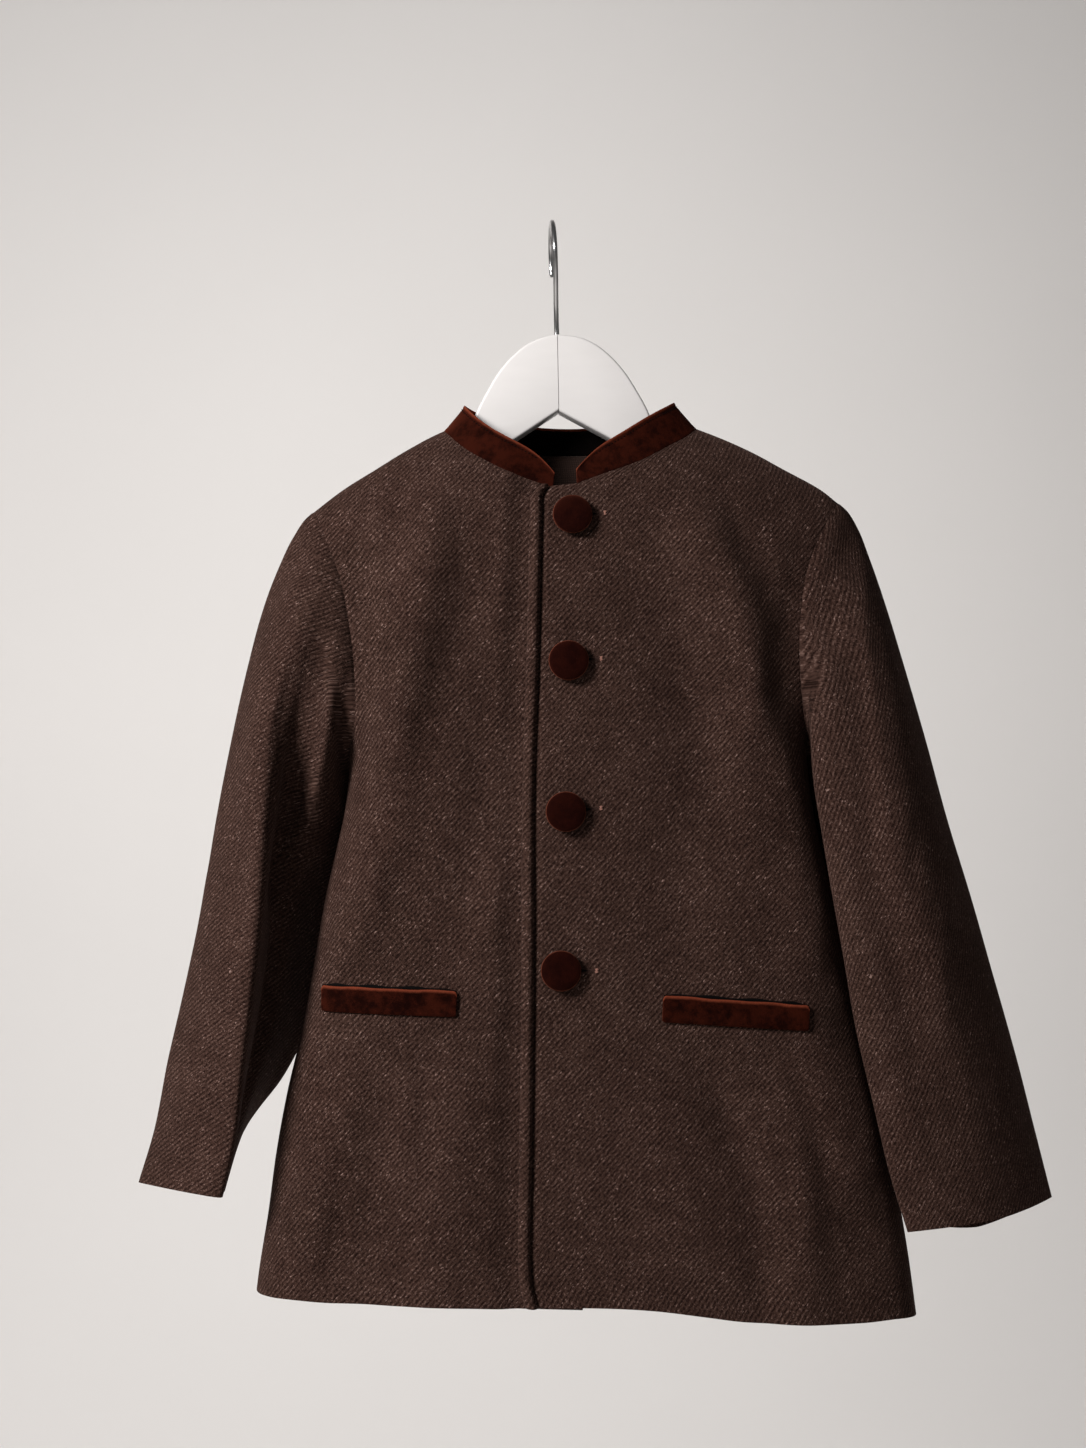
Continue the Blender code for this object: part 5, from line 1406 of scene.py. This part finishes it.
def covered_button(number, place, tree):
    """A covered button, its edge rounded and its cover slightly gathered behind."""
    hit, normal = on_panel(tree, *place)
    top = BUTTON_STAND + BUTTON_THICK
    profile = [(0.0, top)]
    for a in np.linspace(88, 12, 16):
        a = math.radians(a)
        profile.append((BUTTON_RADIUS * math.cos(a) ** 0.9, top - BUTTON_DOME * (1 - math.sin(a))))
    for a in np.linspace(20, -90, 9):
        a = math.radians(a)
        profile.append((BUTTON_RADIUS - BUTTON_EDGE + BUTTON_EDGE * math.cos(a),
                        BUTTON_STAND + BUTTON_EDGE + BUTTON_EDGE_DEEP * math.sin(a)))
    profile += [(BUTTON_SHANK + BUTTON_EDGE, BUTTON_STAND + 0.25),
                (BUTTON_SHANK, BUTTON_STAND - 0.2), (BUTTON_SHANK, 0.1)]
    verts, faces = [(0.0, 0.0, top)], []
    for radius, up in profile[1:]:
        behind = min(max((BUTTON_STAND + GATHERED_BELOW - up) / GATHERED_BELOW, 0), 1)
        for k in range(BUTTON_ROUND):
            turn = 2 * math.pi * k / BUTTON_ROUND
            gather = 1 - BUTTON_GATHERED * behind * (1 + math.sin(BUTTON_GATHERS * turn + number))
            verts.append((radius * gather * math.cos(turn), radius * gather * math.sin(turn), up))
    for k in range(BUTTON_ROUND):
        faces.append((0, 1 + k, 1 + (k + 1) % BUTTON_ROUND))
    for ring in range(len(profile) - 2):
        for k in range(BUTTON_ROUND):
            a, b = 1 + ring * BUTTON_ROUND + k, 1 + ring * BUTTON_ROUND + (k + 1) % BUTTON_ROUND
            faces.append((a, a + BUTTON_ROUND, b + BUTTON_ROUND, b))
    mesh = bpy.data.meshes.new("button_%d_cover" % number)
    turned = Vector(normal).to_track_quat("Z", "Y").to_matrix()
    origin = Vector(hit) + Vector(normal) * SEAM
    mesh.from_pydata([tuple((origin + turned @ Vector(v)) * MM) for v in verts], [], faces)
    mesh.shade_smooth()
    place_on(in_scene(mesh.name, mesh), "button_%d" % number, button_velvet)


front_tree = tree_of(panels["front_left"])
for number, place in enumerate(BUTTONS, 1):
    covered_button(number, place, front_tree)


# The buttonholes: a slit drawn open by the button's shank, its opening a dark sheet of
# painted shadow, oversewn round its lips with brown thread, and barred across its far end
# with a paler one.
HOLE_END = ((23.0, -168.9), (19.0, -247.3), (17.2, -326.3), (13.1, -411.3))
HOLE_OPEN = 5.2
HOLE_WIDEST = 1.5
HOLE_NARROWS = 1.6
SLIT_ROWS = 5
SLIT_LIFT = 0.05
SLIT_OUT = 0.12
SLIT_IN = 0.3
LIP_POINTS = 30
LIP_STARTS = 0.2
LIP_STEP = 0.62
LIP_LIFT = 0.1
LIP_SLANT = 0.15
LIP_LONG = 1.5
LIP_THICK = 0.24
BAR_STITCHES = 6
BAR_TOP = 0.9
BAR_STEP = 0.36
BAR_UNEVEN = 0.25
BAR_RUN = (1.0, 0.0, 0.22)
BAR_LIFT = 0.3
BAR_LONG = 1.9
BAR_THICK = 0.26
brown_thread = thread_finish("brown buttonhole thread", (0.022, 0.010, 0.008),
                             (0.070, 0.038, 0.030))
pale_thread = thread_finish("pale bar tack thread", (0.15, 0.070, 0.052), (0.34, 0.18, 0.14))


def slit_lips(start, end, tree):
    """The slit's upper and lower lips, as rows of points on the cloth."""
    start, end = np.array(start), np.array(end)
    run = unit(end - start)
    square = np.array([-run[1], run[0]])
    lips = []
    for sign in (1, -1):
        lip = []
        for t in np.linspace(0, 1, LIP_POINTS):
            open_by = min(HOLE_OPEN * (1 - t) ** HOLE_NARROWS, HOLE_WIDEST)
            x, z = start + (end - start) * t + square * sign * open_by
            lip.append(on_panel(tree, x, z)[0] + FORWARD * SLIT_LIFT)
        lips.append(np.array(lip))
    return lips


for number, (place, end) in enumerate(zip(BUTTONS, HOLE_END), 1):
    upper, lower = slit_lips(place, end, front_tree)
    # The open slit: a dark sheet of painted shadow between the lips
    rows = np.array([upper + (lower - upper) * k for k in np.linspace(0, 1, SLIT_ROWS)])
    slit = sewn_wall("slit_%d" % number, rows + FORWARD * SLIT_OUT, rows - FORWARD * SLIT_IN,
                     laid_flat(rows, 0), rounded=0)
    place_on(slit, None, painted_slit_shadow)
    for lip, sign, word in ((upper, 1, "upper"), (lower, -1, "lower")):
        run = np.gradient(lip, axis=0)
        far = lengths(lip)
        want = np.arange(LIP_STARTS, far[-1], LIP_STEP)
        places = read_at(lip, far, want)
        across = unit(np.cross(read_at(run, far, want), FORWARD))
        stitches("buttonhole_%d_%s" % (number, word), places + FORWARD * LIP_LIFT,
                 across + LIP_SLANT * sign, np.broadcast_to(FORWARD, places.shape),
                 LIP_LONG, LIP_THICK, brown_thread)
    tip = on_panel(front_tree, *end)[0]
    bar = np.array([tip + np.array([BAR_UNEVEN * math.sin(k * 1.7), 0, BAR_TOP - BAR_STEP * k])
                    for k in range(BAR_STITCHES)])
    stitches("bar_tack_%d" % number, bar + FORWARD * BAR_LIFT,
             np.broadcast_to(BAR_RUN, bar.shape), np.broadcast_to(FORWARD, bar.shape),
             BAR_LONG, BAR_THICK, pale_thread)


# The room: a plain pale floor that sweeps up into a pale wall in one smooth bend. A key
# light stands at the upper left in front, with a weak fill and a light on the wall alone.
WALL_Y = 2.6
FLOOR_Z = -1.30
SWEEP = 1.2
SWEEP_STEPS = 16
ROOM_HALF = 6.0
ROOM_DULL, ROOM_CLEAN = (0.72, 0.70, 0.685), (0.76, 0.74, 0.725)
room = Finish("pale room", Roughness=0.9)
room.feed(room.shader, "Base Color",
          room.blend(room.noise(room.here(), 0.6, 2), ROOM_DULL, ROOM_CLEAN))
outline = [(-ROOM_HALF, FLOOR_Z), (WALL_Y - SWEEP, FLOOR_Z)]
outline += [(WALL_Y - SWEEP + SWEEP * math.sin(a), FLOOR_Z + SWEEP * (1 - math.cos(a)))
            for a in np.linspace(0.1, math.pi / 2, SWEEP_STEPS)]
outline += [(WALL_Y, ROOM_HALF)]
mesh = bpy.data.meshes.new("room")
verts = [(x, y, z) for y, z in outline for x in (-ROOM_HALF, ROOM_HALF)]
mesh.from_pydata(verts, [], [(2 * k, 2 * k + 1, 2 * k + 3, 2 * k + 2)
                             for k in range(len(outline) - 1)])
mesh.materials.append(room.material)
mesh.shade_smooth()
floor = in_scene("room", mesh)


def soft_light(name, place, target, size, power, colour):
    """A soft square light that faces the target."""
    data = bpy.data.lights.new(name, "AREA")
    data.size = size
    data.energy = power
    data.color = colour
    made = in_scene(name, data)
    made.location = place
    made.rotation_euler = (Vector(target) - Vector(place)).to_track_quat("-Z", "Y").to_euler()
    return made


middle = (0.0, 0.0, -0.33)
key = soft_light("key", (-1.38, -1.26, 0.52), middle, 0.6, 64, (1.0, 0.97, 0.955))
fill = soft_light("fill", (1.2, -2.0, 0.3), middle, 1.6, 1.0, (0.97, 0.98, 1.0))
wall_light = soft_light("wall_light", (-0.3, 0.6, 0.3), (-0.15, 2.6, 0.15), 2.2, 31,
                        (1.0, 0.985, 0.97))
world = bpy.data.worlds.new("soft studio")
world.use_nodes = True
world.node_tree.nodes["Background"].inputs["Color"].default_value = (0.80, 0.79, 0.78, 1)
world.node_tree.nodes["Background"].inputs["Strength"].default_value = 0.10
bpy.context.scene.world = world


# The camera: it stands 1.1 m in front of the jacket, a little to the wearer's right of its
# middle, looks slightly up and is turned by a degree, at the photograph's own angle.
CAMERA_AT = (-0.06232, -1.106, -0.34141)
CAMERA_TURN, CAMERA_UP, CAMERA_ROLL = (math.radians(a) for a in (2.7, 3.24, 1.1))
CAMERA_LENS = 50.0
CAMERA_SENSOR = 36.0
ahead = Vector((math.sin(CAMERA_TURN) * math.cos(CAMERA_UP),
                math.cos(CAMERA_TURN) * math.cos(CAMERA_UP), math.sin(CAMERA_UP)))
level = Vector((math.cos(CAMERA_TURN), -math.sin(CAMERA_TURN), 0.0))
upright = level.cross(ahead)
right = level * math.cos(CAMERA_ROLL) - upright * math.sin(CAMERA_ROLL)
up = level * math.sin(CAMERA_ROLL) + upright * math.cos(CAMERA_ROLL)
camera_data = bpy.data.cameras.new("camera")
camera_data.lens = CAMERA_LENS
camera_data.sensor_width = CAMERA_SENSOR
camera = in_scene("camera", camera_data)
camera.matrix_world = (Matrix.Translation(CAMERA_AT)
                       @ Matrix((right, up, -ahead)).transposed().to_4x4())
bpy.context.scene.camera = camera
bpy.context.scene.view_settings.view_transform = "Standard"
